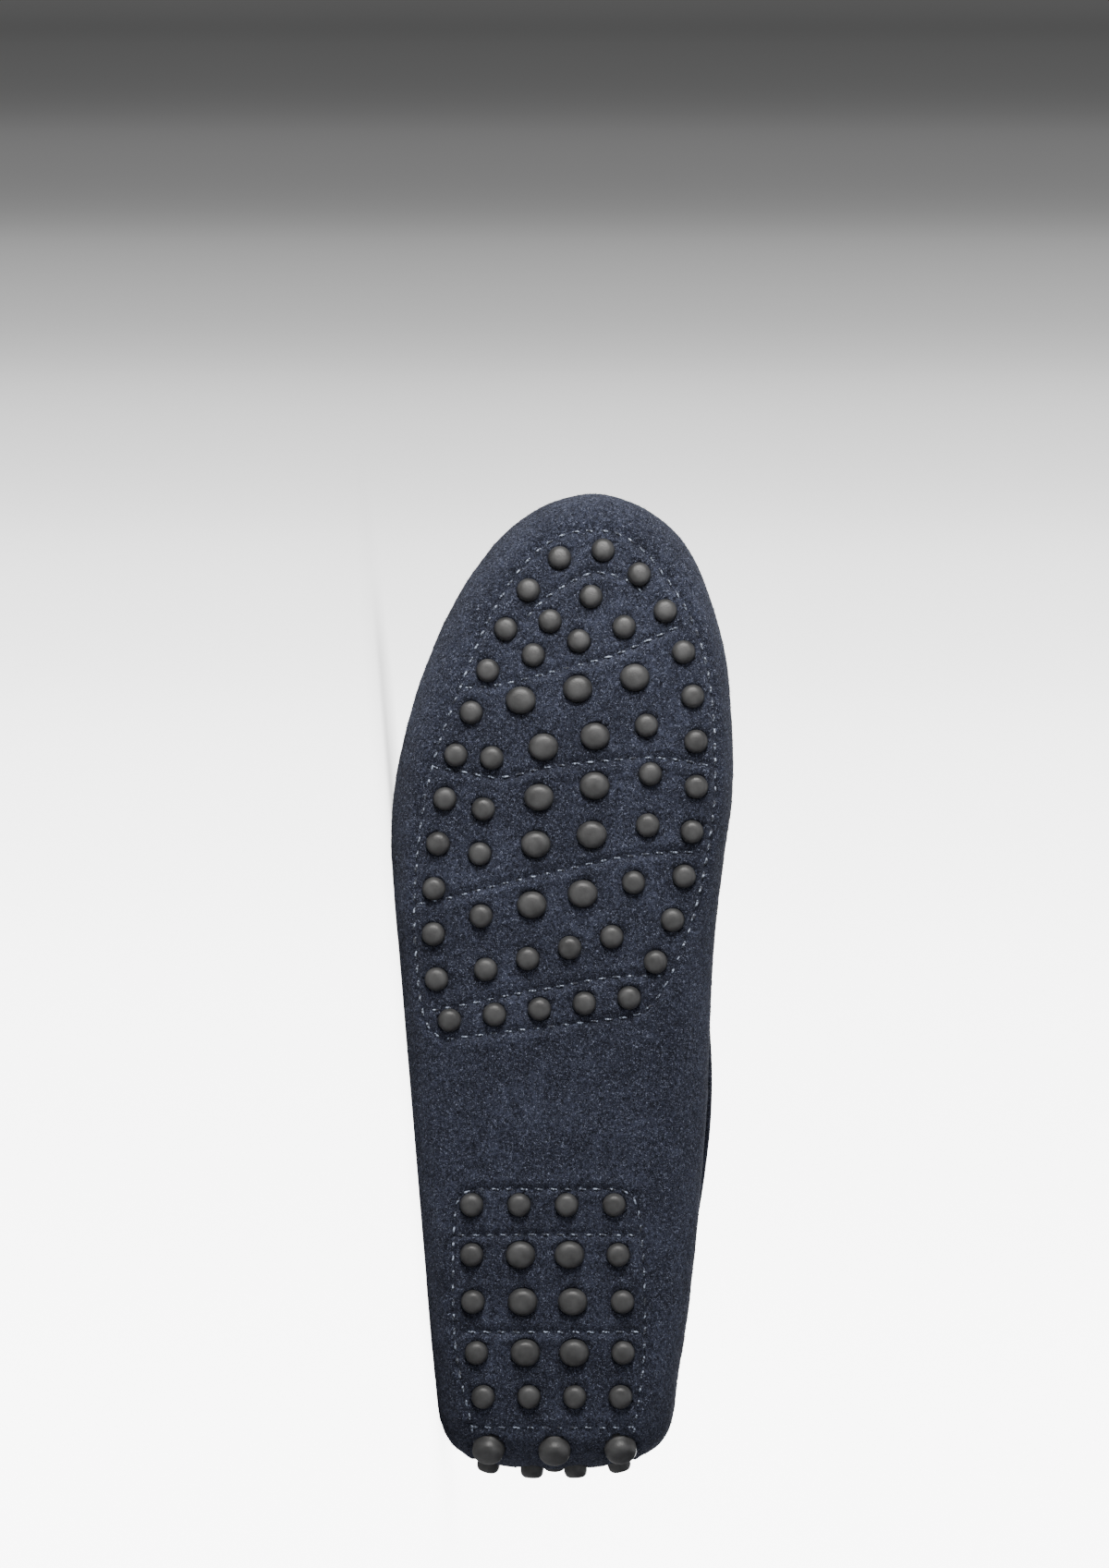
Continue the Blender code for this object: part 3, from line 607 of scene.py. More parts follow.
def nap_group():
    """Brushed suede: patches of nap, short fibres and flecks of lighter fibre."""
    group = bpy.data.node_groups.new("suede_nap", "ShaderNodeTree")
    for name, way, kind in (
        ("Vector", "INPUT", "Vector"), ("Dark", "INPUT", "Color"), ("Light", "INPUT", "Color"),
        ("Fleck", "INPUT", "Color"), ("Patches", "INPUT", "Float"),
        ("Color", "OUTPUT", "Color"), ("Height", "OUTPUT", "Float"),
    ):
        group.interface.new_socket(name, in_out=way, socket_type="NodeSocket" + kind)
    given = group.nodes.new("NodeGroupInput").outputs
    out = group.nodes.new("NodeGroupOutput")
    graph = Graph(group, given["Vector"])
    step, sums = graph.step, graph.sums

    def mix(factor, first, second):
        return graph.node("Mix", {"Factor": factor, "A": first, "B": second},
                          data_type="RGBA")["Result"]

    # Noises by scale, detail, roughness and distortion, from broad patches to single fibres
    patch = step(graph.noise(48.0, 4.0, 0.60, 0.5), 0.36, 0.66)
    brushed = step(graph.noise(230.0, 4.0, 0.65, 0.8), 0.36, 0.66)
    fibre = graph.noise(1700.0, 3.0, 0.85, 1.1)
    fleck = step(graph.noise(2100.0, 2.0, 0.75, 1.4), 0.575, 0.68)
    pit = step(graph.noise(1000.0, 2.0, 0.7, 0.5), 0.36, 0.52)
    nap = sums("ADD", sums("MULTIPLY", patch, 0.30), sums("MULTIPLY", brushed, 0.26))
    nap = sums("MULTIPLY", nap, given["Patches"])
    tone = sums("ADD", nap, sums("MULTIPLY", sums("SUBTRACT", fibre, 0.5), 4.6))
    shade = sums("ADD", sums("MULTIPLY", pit, 0.75), 0.25)
    tone = sums("MULTIPLY", step(tone, -0.35, 1.25), shade)
    base = mix(tone, given["Dark"], given["Light"])
    rough = sums("ADD", sums("MULTIPLY", fibre, 0.8), sums("MULTIPLY", pit, 0.5))
    rough = sums("ADD", rough, sums("MULTIPLY", brushed, 0.5))
    graph.links.new(mix(fleck, base, given["Fleck"]), out.inputs["Color"])
    graph.links.new(rough, out.inputs["Height"])
    return group


NAP = nap_group()


def new_material(name, color, roughness):
    """A Principled material, its graph and its shader."""
    made = bpy.data.materials.new(name)
    made.use_nodes = True
    made.diffuse_color = (*color, 1.0)
    graph = Graph(made.node_tree)
    graph.place = graph.node("TexCoord", {})["Object"]
    shader = made.node_tree.nodes["Principled BSDF"]
    graph.fill(shader, {"Base Color": (*color, 1.0), "Roughness": roughness})
    return made, graph, shader


def suede_material(name, dark, light, fleck, patches, bump):
    """Suede in one colour, with its nap and a soft sheen."""
    made, graph, shader = new_material(name, dark, 0.95)
    nap = graph.node("Group", {"Vector": graph.place, "Dark": (*dark, 1.0),
                               "Light": (*light, 1.0), "Fleck": (*fleck, 1.0),
                               "Patches": patches}, node_tree=NAP)
    graph.fill(shader, {
        "Base Color": nap["Color"], "Normal": graph.bump(nap["Height"], bump, 0.0006),
        "Specular IOR Level": 0.12, "Sheen Weight": 0.16, "Sheen Roughness": 0.50,
        "Sheen Tint": (0.50, 0.53, 0.66, 1.0),
    })
    return made


def rubber_material():
    """Dark grey rubber: matte, cloudy with dust, with a fine grain."""
    made, graph, shader = new_material("stud_rubber", (0.075, 0.075, 0.073), 0.55)
    cloud = graph.noise(260.0, 5.0)
    stops = ((0.32, (0.026, 0.026, 0.0262)), (0.72, (0.057, 0.0572, 0.0575)))
    graph.fill(shader, {
        "Base Color": graph.tint(cloud, stops), "Roughness": graph.ramp(cloud, 0.36, 0.56),
        "Normal": graph.bump(graph.noise(2600.0, 2.0), 0.35, 0.0002),
        "Specular IOR Level": 0.42,
    })
    return made


def thread_material(name, pale, share):
    """Twisted thread whose plies go from dark navy to a paler colour."""
    made, graph, shader = new_material(name, THREAD_DARK, 0.7)
    stops = ((share - 0.05, THREAD_DARK), (share + 0.10, pale))
    graph.fill(shader, {"Base Color": graph.tint(graph.noise(1500.0, 1.0), stops),
                        "Sheen Weight": 0.2})
    return made


SUEDE_NAVY = suede_material("navy_suede_nap", (0.0045, 0.0052, 0.0095), (0.055, 0.063, 0.099),
                            (0.200, 0.222, 0.300), 1.0, 0.90)
FIBRE = suede_material("loose_fibre", (0.012, 0.015, 0.026), (0.075, 0.086, 0.128),
                       (0.180, 0.210, 0.300), 1.0, 0.0)
LINING = suede_material("navy_lining", (0.010, 0.012, 0.022), (0.020, 0.024, 0.040),
                        (0.030, 0.036, 0.056), 0.9, 0.18)
RUBBER = rubber_material()
THREAD = thread_material("navy_thread", (0.330, 0.385, 0.500), 0.52)
EDGE_THREAD = thread_material("topline_thread", (0.050, 0.060, 0.095), 0.55)


def turn_out(bm):
    """Turn the faces of a closed or nearly closed bmesh outwards."""
    bmesh.ops.recalc_face_normals(bm, faces=bm.faces)


def seal(bm):
    """Merge the seams of a grid that meets itself, then turn its faces outwards."""
    bmesh.ops.remove_doubles(bm, verts=bm.verts, dist=MERGE)
    turn_out(bm)


def to_object(name, bm, material):
    """A bmesh as an object in the scene."""
    mesh = bpy.data.meshes.new(name)
    bm.to_mesh(mesh)
    bm.free()
    mesh.materials.append(material)
    made = bpy.data.objects.new(name, mesh)
    bpy.context.scene.collection.objects.link(made)
    return made


def close_piece(name, bm, material, replaced=None, smooth=True):
    """Lay a bmesh down with the shoe and make it a piece that rides on the root."""
    bmesh.ops.transform(bm, matrix=SHOE_TO_ROW, verts=bm.verts)
    for vertex in bm.verts:
        vertex.co.z = max(vertex.co.z, 0.0)
    made = to_object(name, bm, material)
    if smooth:
        made.data.shade_smooth()
    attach(made, "root")
    if replaced:
        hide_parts(replaced)


def sheet_grid(bm, columns, rows, spot):
    """A grid of columns by rows whose vertices spot(u, v) puts in place, u and v 0 to 1."""
    made = bmesh.ops.create_grid(bm, x_segments=columns, y_segments=rows, size=0.5)
    for vertex in made["verts"]:
        u, v = vertex.co.x + 0.5, vertex.co.y + 0.5
        vertex.co = spot(u, v)
    return made["verts"]


def take_in(bm, small):
    """Move a small bmesh into a bigger one."""
    holder = bpy.data.meshes.new("holder")
    small.to_mesh(holder)
    small.free()
    bm.from_mesh(holder)
    bpy.data.meshes.remove(holder)


def quilt_places():
    """Every line of stitching on the bottom, as (flat places, closed)."""
    lines = [(inset_loop(pad_outline(rows), PAD_SEAM_INSET), True)
             for rows in (FOREFOOT_PAD_ROWS, HEEL_PAD_ROWS)]
    for route in QUILT_LINES:
        steps = 24
        points = [curve_through(route, index / steps * (len(route) - 1), False)
                  for index in range(steps + 1)]
        lines.append(([Vector(point) for point in points], False))
    return lines


def seam_lines():
    """Each line of stitching laid over the suede, as points and outward directions."""
    lines = []
    for loop, closed in quilt_places():
        places = along_loop(loop, PAD_STITCH_PITCH, closed)
        points = [over_suede(spot.x, spot.y, 0.0) for spot in places]
        outs = [(over_suede(spot.x, spot.y, -0.001) - point).normalized()
                for spot, point in zip(places, points)]
        lines.append((points, outs, closed))
    return lines


SEAMS = seam_lines()


def stud_axes(studs):
    """Each stud's place on the suede, its outward direction, radius and height."""
    axes = []
    for x, y, letter in studs:
        root = over_suede(x, y, PAD_DEPTH)
        tip = over_suede(x, y, -(STUD_PROUD + STUD_EXTRA[letter]))
        skin_point = over_suede(x, y, 0.0)
        axes.append((skin_point, (tip - root).normalized(), STUD_DIAMETERS[letter] / 2,
                     STUD_PROUD + STUD_EXTRA[letter]))
    return axes


FORE_AXES = stud_axes(FOREFOOT_STUDS)
HEEL_AXES = stud_axes(HEEL_STUDS)


def around_places(count):
    """Places round the ring, evenly spaced over the ground and closed at the heel."""
    fine = 960
    points = [section(index * RING_TURNS / fine).point(1.0) for index in range(fine + 1)]
    return [step * RING_TURNS / fine for step in even_steps(points, count)]


def wall_relief(place, height, point):
    """How far the walls and the bottom stand out: listed creases, and wear."""
    rise = 0.0
    lateral = place < LAST_ROW
    y = point.y
    for centre, lean, depth, width, reach in WALL_CREASES:
        if height > 1.05:
            line = centre + lean * (height - 1.5) * 0.02 + (0.004 if lateral else 0.0)
            off = (y - line) / width
            fade = math.exp(-((height - 1.62) / reach) ** 2) * min(1.0, (height - 1.05) * 6)
            rise -= depth * math.exp(-off * off) * fade
            rise += 0.35 * depth * math.exp(-(abs(off) - 1.7) ** 2 * 1.5) * fade
    if height > 0.9:
        counter = (y - COUNTER_EDGE - 0.006 * (height - 1.5)) / 0.004
        rise -= 0.0005 * math.exp(-counter * counter) * min(1.0, (height - 0.9) * 4)
        slack = (y - HEEL_HOLLOW) / 0.020
        rise -= 0.0003 * math.exp(-slack * slack) * min(1.0, (height - 0.9) * 2)
    # The leather is never quite even
    rise += 0.00035 * noise.noise(point * 42.0) + 0.00016 * noise.noise(point * 130.0)
    rise += 0.00013 * noise.noise(point * 1900.0)
    return rise


nap_roots = []


def seed_fibres(bm, count, seed, barred):
    """Choose where single fibres stand up from the nap, evenly over the suede."""
    dice = random.Random(seed)
    faces = [face for face in bm.faces if not any(vertex in barred for vertex in face.verts)]
    reach, total = [], 0.0
    for face in faces:
        total += face.calc_area()
        reach.append(total)
    for _ in range(count):
        face = faces[min(bisect.bisect(reach, dice.random() * total), len(faces) - 1)]
        corner = dice.choice(face.verts)
        point = face.calc_center_median().lerp(corner.co, dice.random())
        nap_roots.append((point, face.normal.copy(), dice.random(), dice.random(), dice.random()))


def make_fibres():
    """Short loose fibres of the nap, each a slim spike with three sides."""
    bm = bmesh.new()
    for point, normal, first, second, third in nap_roots:
        side = normal.orthogonal().normalized()
        side.rotate(Quaternion(normal, first * math.tau))
        lean = (normal * (0.35 + 0.5 * second) + side).normalized()
        across = lean.cross(normal).normalized()
        width = FIBRE_WIDTH * (0.7 + 0.6 * third)
        root = point - normal * FIBRE_WIDTH
        corners = [bm.verts.new(root + across * width), bm.verts.new(root - across * width),
                   bm.verts.new(root + normal * width * 1.6)]
        tip = bm.verts.new(root + lean * FIBRE_LENGTH * (0.45 + third))
        bm.faces.new(corners)
        for index in range(3):
            bm.faces.new((corners[index], tip, corners[(index + 1) % 3]))
    turn_out(bm)
    close_piece("nap_fibres", bm, FIBRE, smooth=False)


def stitch_troughs(tree):
    """How far each vertex sinks under a line of stitches or swells beside it."""
    sunk = {}
    for points, _, closed in SEAMS:
        best = {}
        for before, after in zip(points, points[1:] + points[:1] if closed else points[1:]):
            for part in (0.0, 0.25, 0.5, 0.75):
                for _, index, far in tree.find_range(before.lerp(after, part), TROUGH_REACH):
                    if far < best.get(index, (9.0, 0.0))[0]:
                        best[index] = (far, part)
        for index, (far, part) in best.items():
            grip = TROUGH_AT_HOLE if part == 0.0 else TROUGH_BETWEEN
            fall = TROUGH_DEPTH * grip * math.exp(-(far / TROUGH_WIDTH) ** 2)
            swell = 0.00030 * math.exp(-((far - 0.0026) / 0.0012) ** 2)
            if far < 0.002:
                sunk[index] = min(sunk.get(index, 0.0), swell - fall)
            else:
                sunk[index] = sunk.get(index, swell - fall)
    return sunk


def stud_holes(tree, rises):
    """Stretch the suede a little round each stud and draw it under at the hole."""
    moved = {}
    for centre, axis, radius, _ in FORE_AXES + HEEL_AXES:
        hole = radius + CLEARANCE * 0.6
        covered = hole - 0.00042
        for co, index, _ in tree.find_range(centre, hole + 0.0040):
            offset = co - centre
            flat_offset = offset - axis * offset.dot(axis)
            far = flat_offset.length
            if far < hole + 0.00045:
                target = hole if far > covered else far
                side = flat_offset.normalized() if far > 1e-6 else Vector((1.0, 0.0, 0.0))
                moved[index] = side * (target - far)
                rises[index] = -0.0024 if far <= covered else -0.0002
            else:
                edge = (far - hole) / 0.0022
                rises[index] += 0.00014 * math.exp(-(edge - 0.75) ** 2 * 3.0)
                rises[index] -= 0.00045 * math.exp(-(edge / 0.32) ** 2)
    return moved


def make_upper():
    """The one-piece suede: bottom, corners and walls, pierced by the studs."""
    columns = 760
    flat, corner, wall = 46, 14, 30
    rows = flat + corner + wall
    places = around_places(columns)
    bm = bmesh.new()
    layer = bm.verts.layers.float.new("relief")
    reliefs = []

    def spot(u, v):
        place = places[round(u * columns)]
        step = v * rows
        cut = section(place)
        if step <= flat:
            flat_point = cut.middle.lerp(Vector((cut.foot.x, cut.foot.y, 0.0)), step / flat)
            point, height = bottom(flat_point.x, flat_point.y, 0.0), 0.0
        else:
            height = (step - flat) / corner
            if height > 1.0:
                height = 1.0 + (step - flat - corner) / wall
            point = cut.point(height)
        reliefs.append(wall_relief(place, height, point))
        return point

    for vertex, relief in zip(sheet_grid(bm, columns, rows, spot), reliefs):
        vertex[layer] = relief
    seal(bm)
    bm.normal_update()
    bm.verts.ensure_lookup_table()
    flat_faces = [face for face in bm.faces if face.calc_center_median().z < 2 * STUD_PROUD]
    if sum(face.normal.z * face.calc_area() for face in flat_faces) > 0.0:
        bmesh.ops.reverse_faces(bm, faces=bm.faces)
        bm.normal_update()
    tree = KDTree(len(bm.verts))
    for index, vertex in enumerate(bm.verts):
        tree.insert(vertex.co, index)
    tree.balance()
    bm.verts.ensure_lookup_table()
    rises = [vertex[layer] for vertex in bm.verts]
    for index, fall in stitch_troughs(tree).items():
        rises[index] += fall
    moved = stud_holes(tree, rises)
    normals = [vertex.normal.copy() for vertex in bm.verts]
    for index, vertex in enumerate(bm.verts):
        vertex.co += normals[index] * rises[index]
        if index in moved:
            vertex.co += moved[index]
    bm.normal_update()
    seed_fibres(bm, UPPER_FIBRES, 3, {bm.verts[index] for index in moved})
    close_piece("suede_upper", bm, SUEDE_NAVY, "upper")


def make_studs(name, axes, rows, node):
    """A pad's studs: low domes with a rounded shoulder, on the pad's own sheet."""
    bm = bmesh.new()
    for centre, axis, radius, top in axes:
        lean = 1.0 + 0.02 * noise.noise(centre * 700.0)
        profile = [(radius * 1.06, -PAD_DEPTH), (radius, -STUD_NECK), (radius * 0.99, STUD_NECK)]
        profile += [(radius * out, top * up) for out, up in STUD_DOME]
        one = bmesh.new()
        chain = [one.verts.new((out * lean, 0.0, up)) for out, up in profile]
        edges = [one.edges.new(pair) for pair in zip(chain, chain[1:])]
        bmesh.ops.spin(one, geom=chain + edges, cent=(0, 0, 0), axis=(0, 0, 1),
                       angle=math.tau, steps=STUD_SEGMENTS, use_merge=True)
        bmesh.ops.remove_doubles(one, verts=one.verts, dist=MERGE / 2)
        turn_out(one)
        wide = STUD_OVAL if radius > STUD_DIAMETERS["s"] / 2 else 1.0
        bmesh.ops.scale(one, vec=(wide, 1.0 / wide, 1.0), verts=one.verts)
        ahead = (AHEAD - axis * axis.y).normalized()
        turn = Matrix((ahead.cross(axis), ahead, axis)).transposed().to_4x4()
        bmesh.ops.transform(one, matrix=Matrix.Translation(centre) @ turn, verts=one.verts)
        take_in(bm, one)
    sheet = bmesh.new()
    sheet_grid(sheet, 24, 60, lambda u, v: over_suede(*pad_spot(rows, v, 2 * u - 1), PAD_DEPTH))
    bmesh.ops.solidify(sheet, geom=sheet.faces, thickness=-PAD_SHEET)
    turn_out(sheet)
    take_in(bm, sheet)
    close_piece(name, bm, RUBBER, node)


def add_stitch(bm, start, end, out, width, sink):
    """One short stitch from hole to hole, arched over the suede."""
    along = end - start
    side = out.cross(along).normalized()
    rings = []
    for share, fat, lift in STITCH_SHAPE:
        ring = bmesh.ops.create_circle(bm, cap_ends=False, segments=STITCH_SIDES,
                                       radius=width / 2)["verts"]
        middle = start + along * share + out * (lift * width - sink)
        for vertex in ring:
            local = vertex.co.copy()
            vertex.co = middle + side * local.x * fat + out * local.y * fat
        rings.append(ring)
    for ring, after in zip(rings, rings[1:]):
        for index in range(STITCH_SIDES):
            following = (index + 1) % STITCH_SIDES
            bm.faces.new((ring[index], ring[following], after[following], after[index]))
    bm.faces.new(rings[0])
    bm.faces.new(list(reversed(rings[-1])))


def make_pad_stitches():
    """The stitches round both pads and across them."""
    bm = bmesh.new()
    for points, outs, closed in SEAMS:
        small = bmesh.new()
        pairs = list(zip(points, points[1:], outs))
        if closed:
            pairs.append((points[-1], points[0], outs[-1]))
        for start, end, out in pairs:
            run = end - start
            gap = (run.length - PAD_STITCH_LENGTH) / 2
            slant = 0.00016 + 0.00010 * noise.noise(start * 900.0)
            wander = out.cross(run).normalized() * slant
            head = start + run.normalized() * gap + wander
            tail = end - run.normalized() * gap - wander
            add_stitch(small, head, tail, out, PAD_STITCH_WIDTH, STITCH_SUNK)
        turn_out(small)
        take_in(bm, small)
    close_piece("pad_stitches", bm, THREAD)


def seam_run(places):
    """The length run along the rim up to each place."""
    run, total = [0.0], 0.0
    for before, after in zip(places, places[1:]):
        total += (section(after).rim - section(before).rim).length
        run.append(total)
    return run


def make_seam():
    """The raised seam round the apron: the wall's gathered lip and its inner face."""
    first, last = THROAT_ROW - 0.6, RING_TURNS - THROAT_ROW + 0.6
    columns = 620
    places = [first + (last - first) * index / columns for index in range(columns + 1)]
    run = seam_run(places)
    bm = bmesh.new()

    def spot(u, v):
        index = round(u * columns)
        cut = section(places[index])
        step = round(v * (len(LIP_SHAPE) - 1))
        inward, rise = LIP_SHAPE[step]
        share = min(cut.lip / SEAM_LIP, 1.0)
        pucker = math.sin(run[index] / GATHER_PITCH * math.tau)
        swell = 0.00042 * pucker * share
        grow = 1.0 + 0.16 * pucker
        rise = rise * (grow if rise > 0 else 1.0) * max(share, 0.12 if rise > 0 else 1.0)
        outward = -inward + (swell if step < 5 else -swell * 0.4)
        return cut.rim + cut.out * outward + UP * rise

    sheet_grid(bm, columns, len(LIP_SHAPE) - 1, spot)
    turn_out(bm)
    close_piece("apron_seam", bm, SUEDE_NAVY)


def make_seam_stitches():
    """Hand stitches over the raised seam, one in every gather's dip."""
    first, last = THROAT_ROW - 0.2, RING_TURNS - THROAT_ROW + 0.2
    fine = 1200
    places = [first + (last - first) * index / fine for index in range(fine + 1)]
    run = seam_run(places)
    bm = bmesh.new()
    want = GATHER_PITCH * 0.75
    for index, length in enumerate(run):
        if length < want:
            continue
        want += GATHER_PITCH
        cut = section(places[index])
        share = cut.lip / SEAM_LIP
        if share < 0.3:
            continue
        start = cut.rim + cut.out * 0.0006 + UP * 0.0002 * share
        end = cut.rim - cut.out * 0.0028 + UP * 0.0006 * share
        top = UP * (SEAM_LIP * 0.95 * share)
        ahead = section(places[min(index + 3, fine)]).rim - cut.rim
        lean = ahead.normalized() * 0.0009
        middle = (start + end) / 2 + top
        for head, tail, out in ((start - lean, middle, cut.out + UP),
                                (middle, end + lean, UP - cut.out)):
            add_stitch(bm, head, tail, out.normalized(), SEAM_THREAD, -0.0001)
    turn_out(bm)
    close_piece("seam_stitches", bm, THREAD)


def apron_edges(place):
    """The apron's two edges against the raised seam, lateral and medial."""
    edges = []
    for spot in (place, RING_TURNS - place):
        cut = section(spot)
        edges.append((cut.rim, -cut.out, cut.lip))
    return edges


def make_apron():
    """The crowned apron and its tongue, with the creases of a walked-in vamp."""
    widest_edges = apron_edges(THROAT_ROW + 1.0)
    widest = (widest_edges[0][0] - widest_edges[1][0]).length
    tongue, body, across = 24, 150, 60
    taper = ((1.0,), (0.97,), (0.92,), (0.84,), (0.66,))
    start = apron_edges(THROAT_ROW)
    throat = (start[0][0] + start[1][0]) / 2

    def edges_at(step):
        if step < tongue:
            share = 1.0 - step / tongue
            width = curve_through(taper, share * (len(taper) - 1), False)[0]
            sides = []
            for rim, inside, _ in start:
                back = Vector((0.0, -TONGUE_LENGTH * share, TONGUE_RISE * share))
                sides.append((throat.lerp(rim, width - 0.08 * share) + back,
                              Vector((inside.x, 0.0, 0.0)).normalized()))
            return sides, width
        share = (step - tongue) / body
        place = THROAT_ROW + (LAST_ROW - APRON_FRONT - THROAT_ROW) * share
        sides = [(rim, inside) for rim, inside, _ in apron_edges(place)]
        return sides, (sides[0][0] - sides[1][0]).length / widest

    bm = bmesh.new()

    def spot(u, v):
        step = round(v * (tongue + body))
        sides, width = edges_at(step)
        gap = SUEDE + CLEARANCE + 0.0002
        left = sides[0][0] + sides[0][1] * gap
        right = sides[1][0] + sides[1][1] * gap
        point = left.lerp(right, u)
        share = 2 * u - 1
        full = max(0.0, 1.0 - share * share)
        rise = APRON_CROWN * min(width, 1.1) * full + 0.0004
        y = point.y
        for centre, depth, spread, bow in VAMP_CREASES:
            off = (y - centre + bow * share * share - 0.003 * share) / spread
            fade = min(1.0, full * 2.2) * min(1.0, 0.55 + 0.9 * abs(share))
            rise -= depth * math.exp(-off * off) * fade
            rise += 0.4 * depth * math.exp(-(abs(off) - 1.8) ** 2) * fade
        rise += 0.00035 * noise.noise(point * 55.0) * full
        return point + UP * rise

    sheet_grid(bm, across, tongue + body, spot)
    turn_out(bm)
    bm.normal_update()
    bm.faces.ensure_lookup_table()
    if bm.faces[len(bm.faces) // 2].normal.z < 0.0:
        bmesh.ops.reverse_faces(bm, faces=bm.faces)
    seed_fibres(bm, APRON_FIBRES, 5, set())
    bmesh.ops.solidify(bm, geom=bm.faces, thickness=SUEDE)
    close_piece("suede_apron", bm, SUEDE_NAVY, "apron")


def edge_tip(place):
    """The direction in which the wall ends at its rim."""
    return (skin(place, TOP) - skin(place, TOP - 0.05)).normalized()


def make_binding():
    """The soft band folded over the topline."""
    columns = 420
    places = [-BINDING_ROW + 2 * BINDING_ROW * index / columns for index in range(columns + 1)]
    bm = bmesh.new()

    def spot(u, v):
        place = places[round(u * columns)]
        cut = section(place)
        up, depth = BAND_SHAPE[round(v * (len(BAND_SHAPE) - 1))]
        wall = (cut.rim - cut.side).length
        point = skin(place, TOP - BINDING_DEPTH / wall * (1.0 - min(max(up, 0.0), 1.0)), depth)
        if up > 1.0 or up < 0.0:
            point += edge_tip(place) * (BINDING_DEPTH * (up - (1.0 if up > 1.0 else 0.0)))
        return point + UP * 0.0002 * noise.noise(point * 60.0)

    sheet_grid(bm, columns, len(BAND_SHAPE) - 1, spot)
    bmesh.ops.remove_doubles(bm, verts=bm.verts, dist=MERGE)
    ends = [edge for edge in bm.edges if edge.is_boundary]
    bmesh.ops.holes_fill(bm, edges=ends, sides=0)
    turn_out(bm)
    close_piece("collar_band", bm, SUEDE_NAVY, "collar_binding")


def make_binding_stitches():
    """One row of stitches along the band's lower edge."""
    bm = bmesh.new()
    fine = 900
    points = []
    for index in range(fine + 1):
        place = -BINDING_ROW + 2 * BINDING_ROW * index / fine
        cut = section(place)
        height = TOP - BINDING_DEPTH / (cut.rim - cut.side).length * 0.82
        points.append((skin(place, height, -0.0012), skin(place, height, -0.0030)))
    start, outer = points[0]
    for point, next_outer in points[1:]:
        run = point - start
        if run.length >= STITCH_PITCH:
            gap = run.normalized() * (run.length - STITCH_LENGTH) / 2
            out = (outer - start).normalized()
            add_stitch(bm, start + gap, point - gap, out, PAD_STITCH_WIDTH, 0.0003)
            start, outer = point, next_outer
    turn_out(bm)
    close_piece("collar_stitches", bm, EDGE_THREAD)


def make_lining():
    """The lining inside the walls, from the sock up to the topline and the apron seam."""
    columns, rows = 300, 22
    places = around_places(columns)
    bm = bmesh.new()

    def spot(u, v):
        place = places[round(u * columns)]
        height = 0.05 + v * 1.93
        thin = min(max((height - LINING_FULL) / (LINING_THIN - LINING_FULL), 0.0), 1.0)
        thin *= thin * (3.0 - 2.0 * thin)
        outer = SUEDE * 0.9
        return skin(place, height, outer + (INSOLE_DEPTH + CLEARANCE - outer) * (1.0 - thin))

    sheet_grid(bm, columns, rows, spot)
    seal(bm)
    bm.normal_update()
    bm.faces.ensure_lookup_table()
    face = bm.faces[0]
    if face.normal.dot(Vector((0.0, 0.15, 0.03)) - face.calc_center_median()) < 0.0:
        bmesh.ops.reverse_faces(bm, faces=bm.faces)
    close_piece("wall_lining", bm, LINING)


def make_sock():
    """The sock over the inner sole, slightly cupped at the heel, closed underneath."""
    columns, top, under = 220, 26, 8
    places = around_places(columns)
    bm = bmesh.new()

    def spot(u, v):
        cut = section(places[round(u * columns)])
        step = round(v * (top + under))
        share = min(1.0, step / top)
        if step > top:
            share = 1.0 - (step - top - 1) / (under - 1)
        foot = cut.foot - cut.out * INSOLE_INSET
        flat = cut.middle.lerp(Vector((foot.x, foot.y, 0.0)), share)
        if step > top:
            return bottom(flat.x, flat.y, INSOLE_DEPTH)
        cupped = 0.0012 * share ** 4
        print_depth = 0.0006 * math.exp(-((flat.y - 0.04) / 0.022) ** 2) * (1 - share)
        return bottom(flat.x, flat.y, INSOLE_DEPTH + INSOLE + cupped - print_depth)

    sheet_grid(bm, columns, top + under, spot)
    seal(bm)
    close_piece("sock", bm, LINING, "insole")


# The photograph's size in pixels, and its scale on the sole
PHOTO_SIZE = (1200, 1697)
PIXELS_A_METRE = 3650.0
CAMERA_AWAY = 1.6
AIM = Vector((0.0, 0.2045, 0.0))

# The painted light falloff on the paper, as the brightness of its glow across the picture: the
# picture's height, from 0 at the bottom to 1 at the top, and the share of the full glow there
PAPER_PAINTED_FALLOFF = ((0.00, 1.00), (0.20, 0.90), (0.40, 0.72), (0.55, 0.47), (0.66, 0.27),
               (0.76, 0.118), (0.85, 0.042), (0.92, 0.0190), (0.975, 0.0110), (1.00, 0.0115))
PAPER_GLOW = 8.6


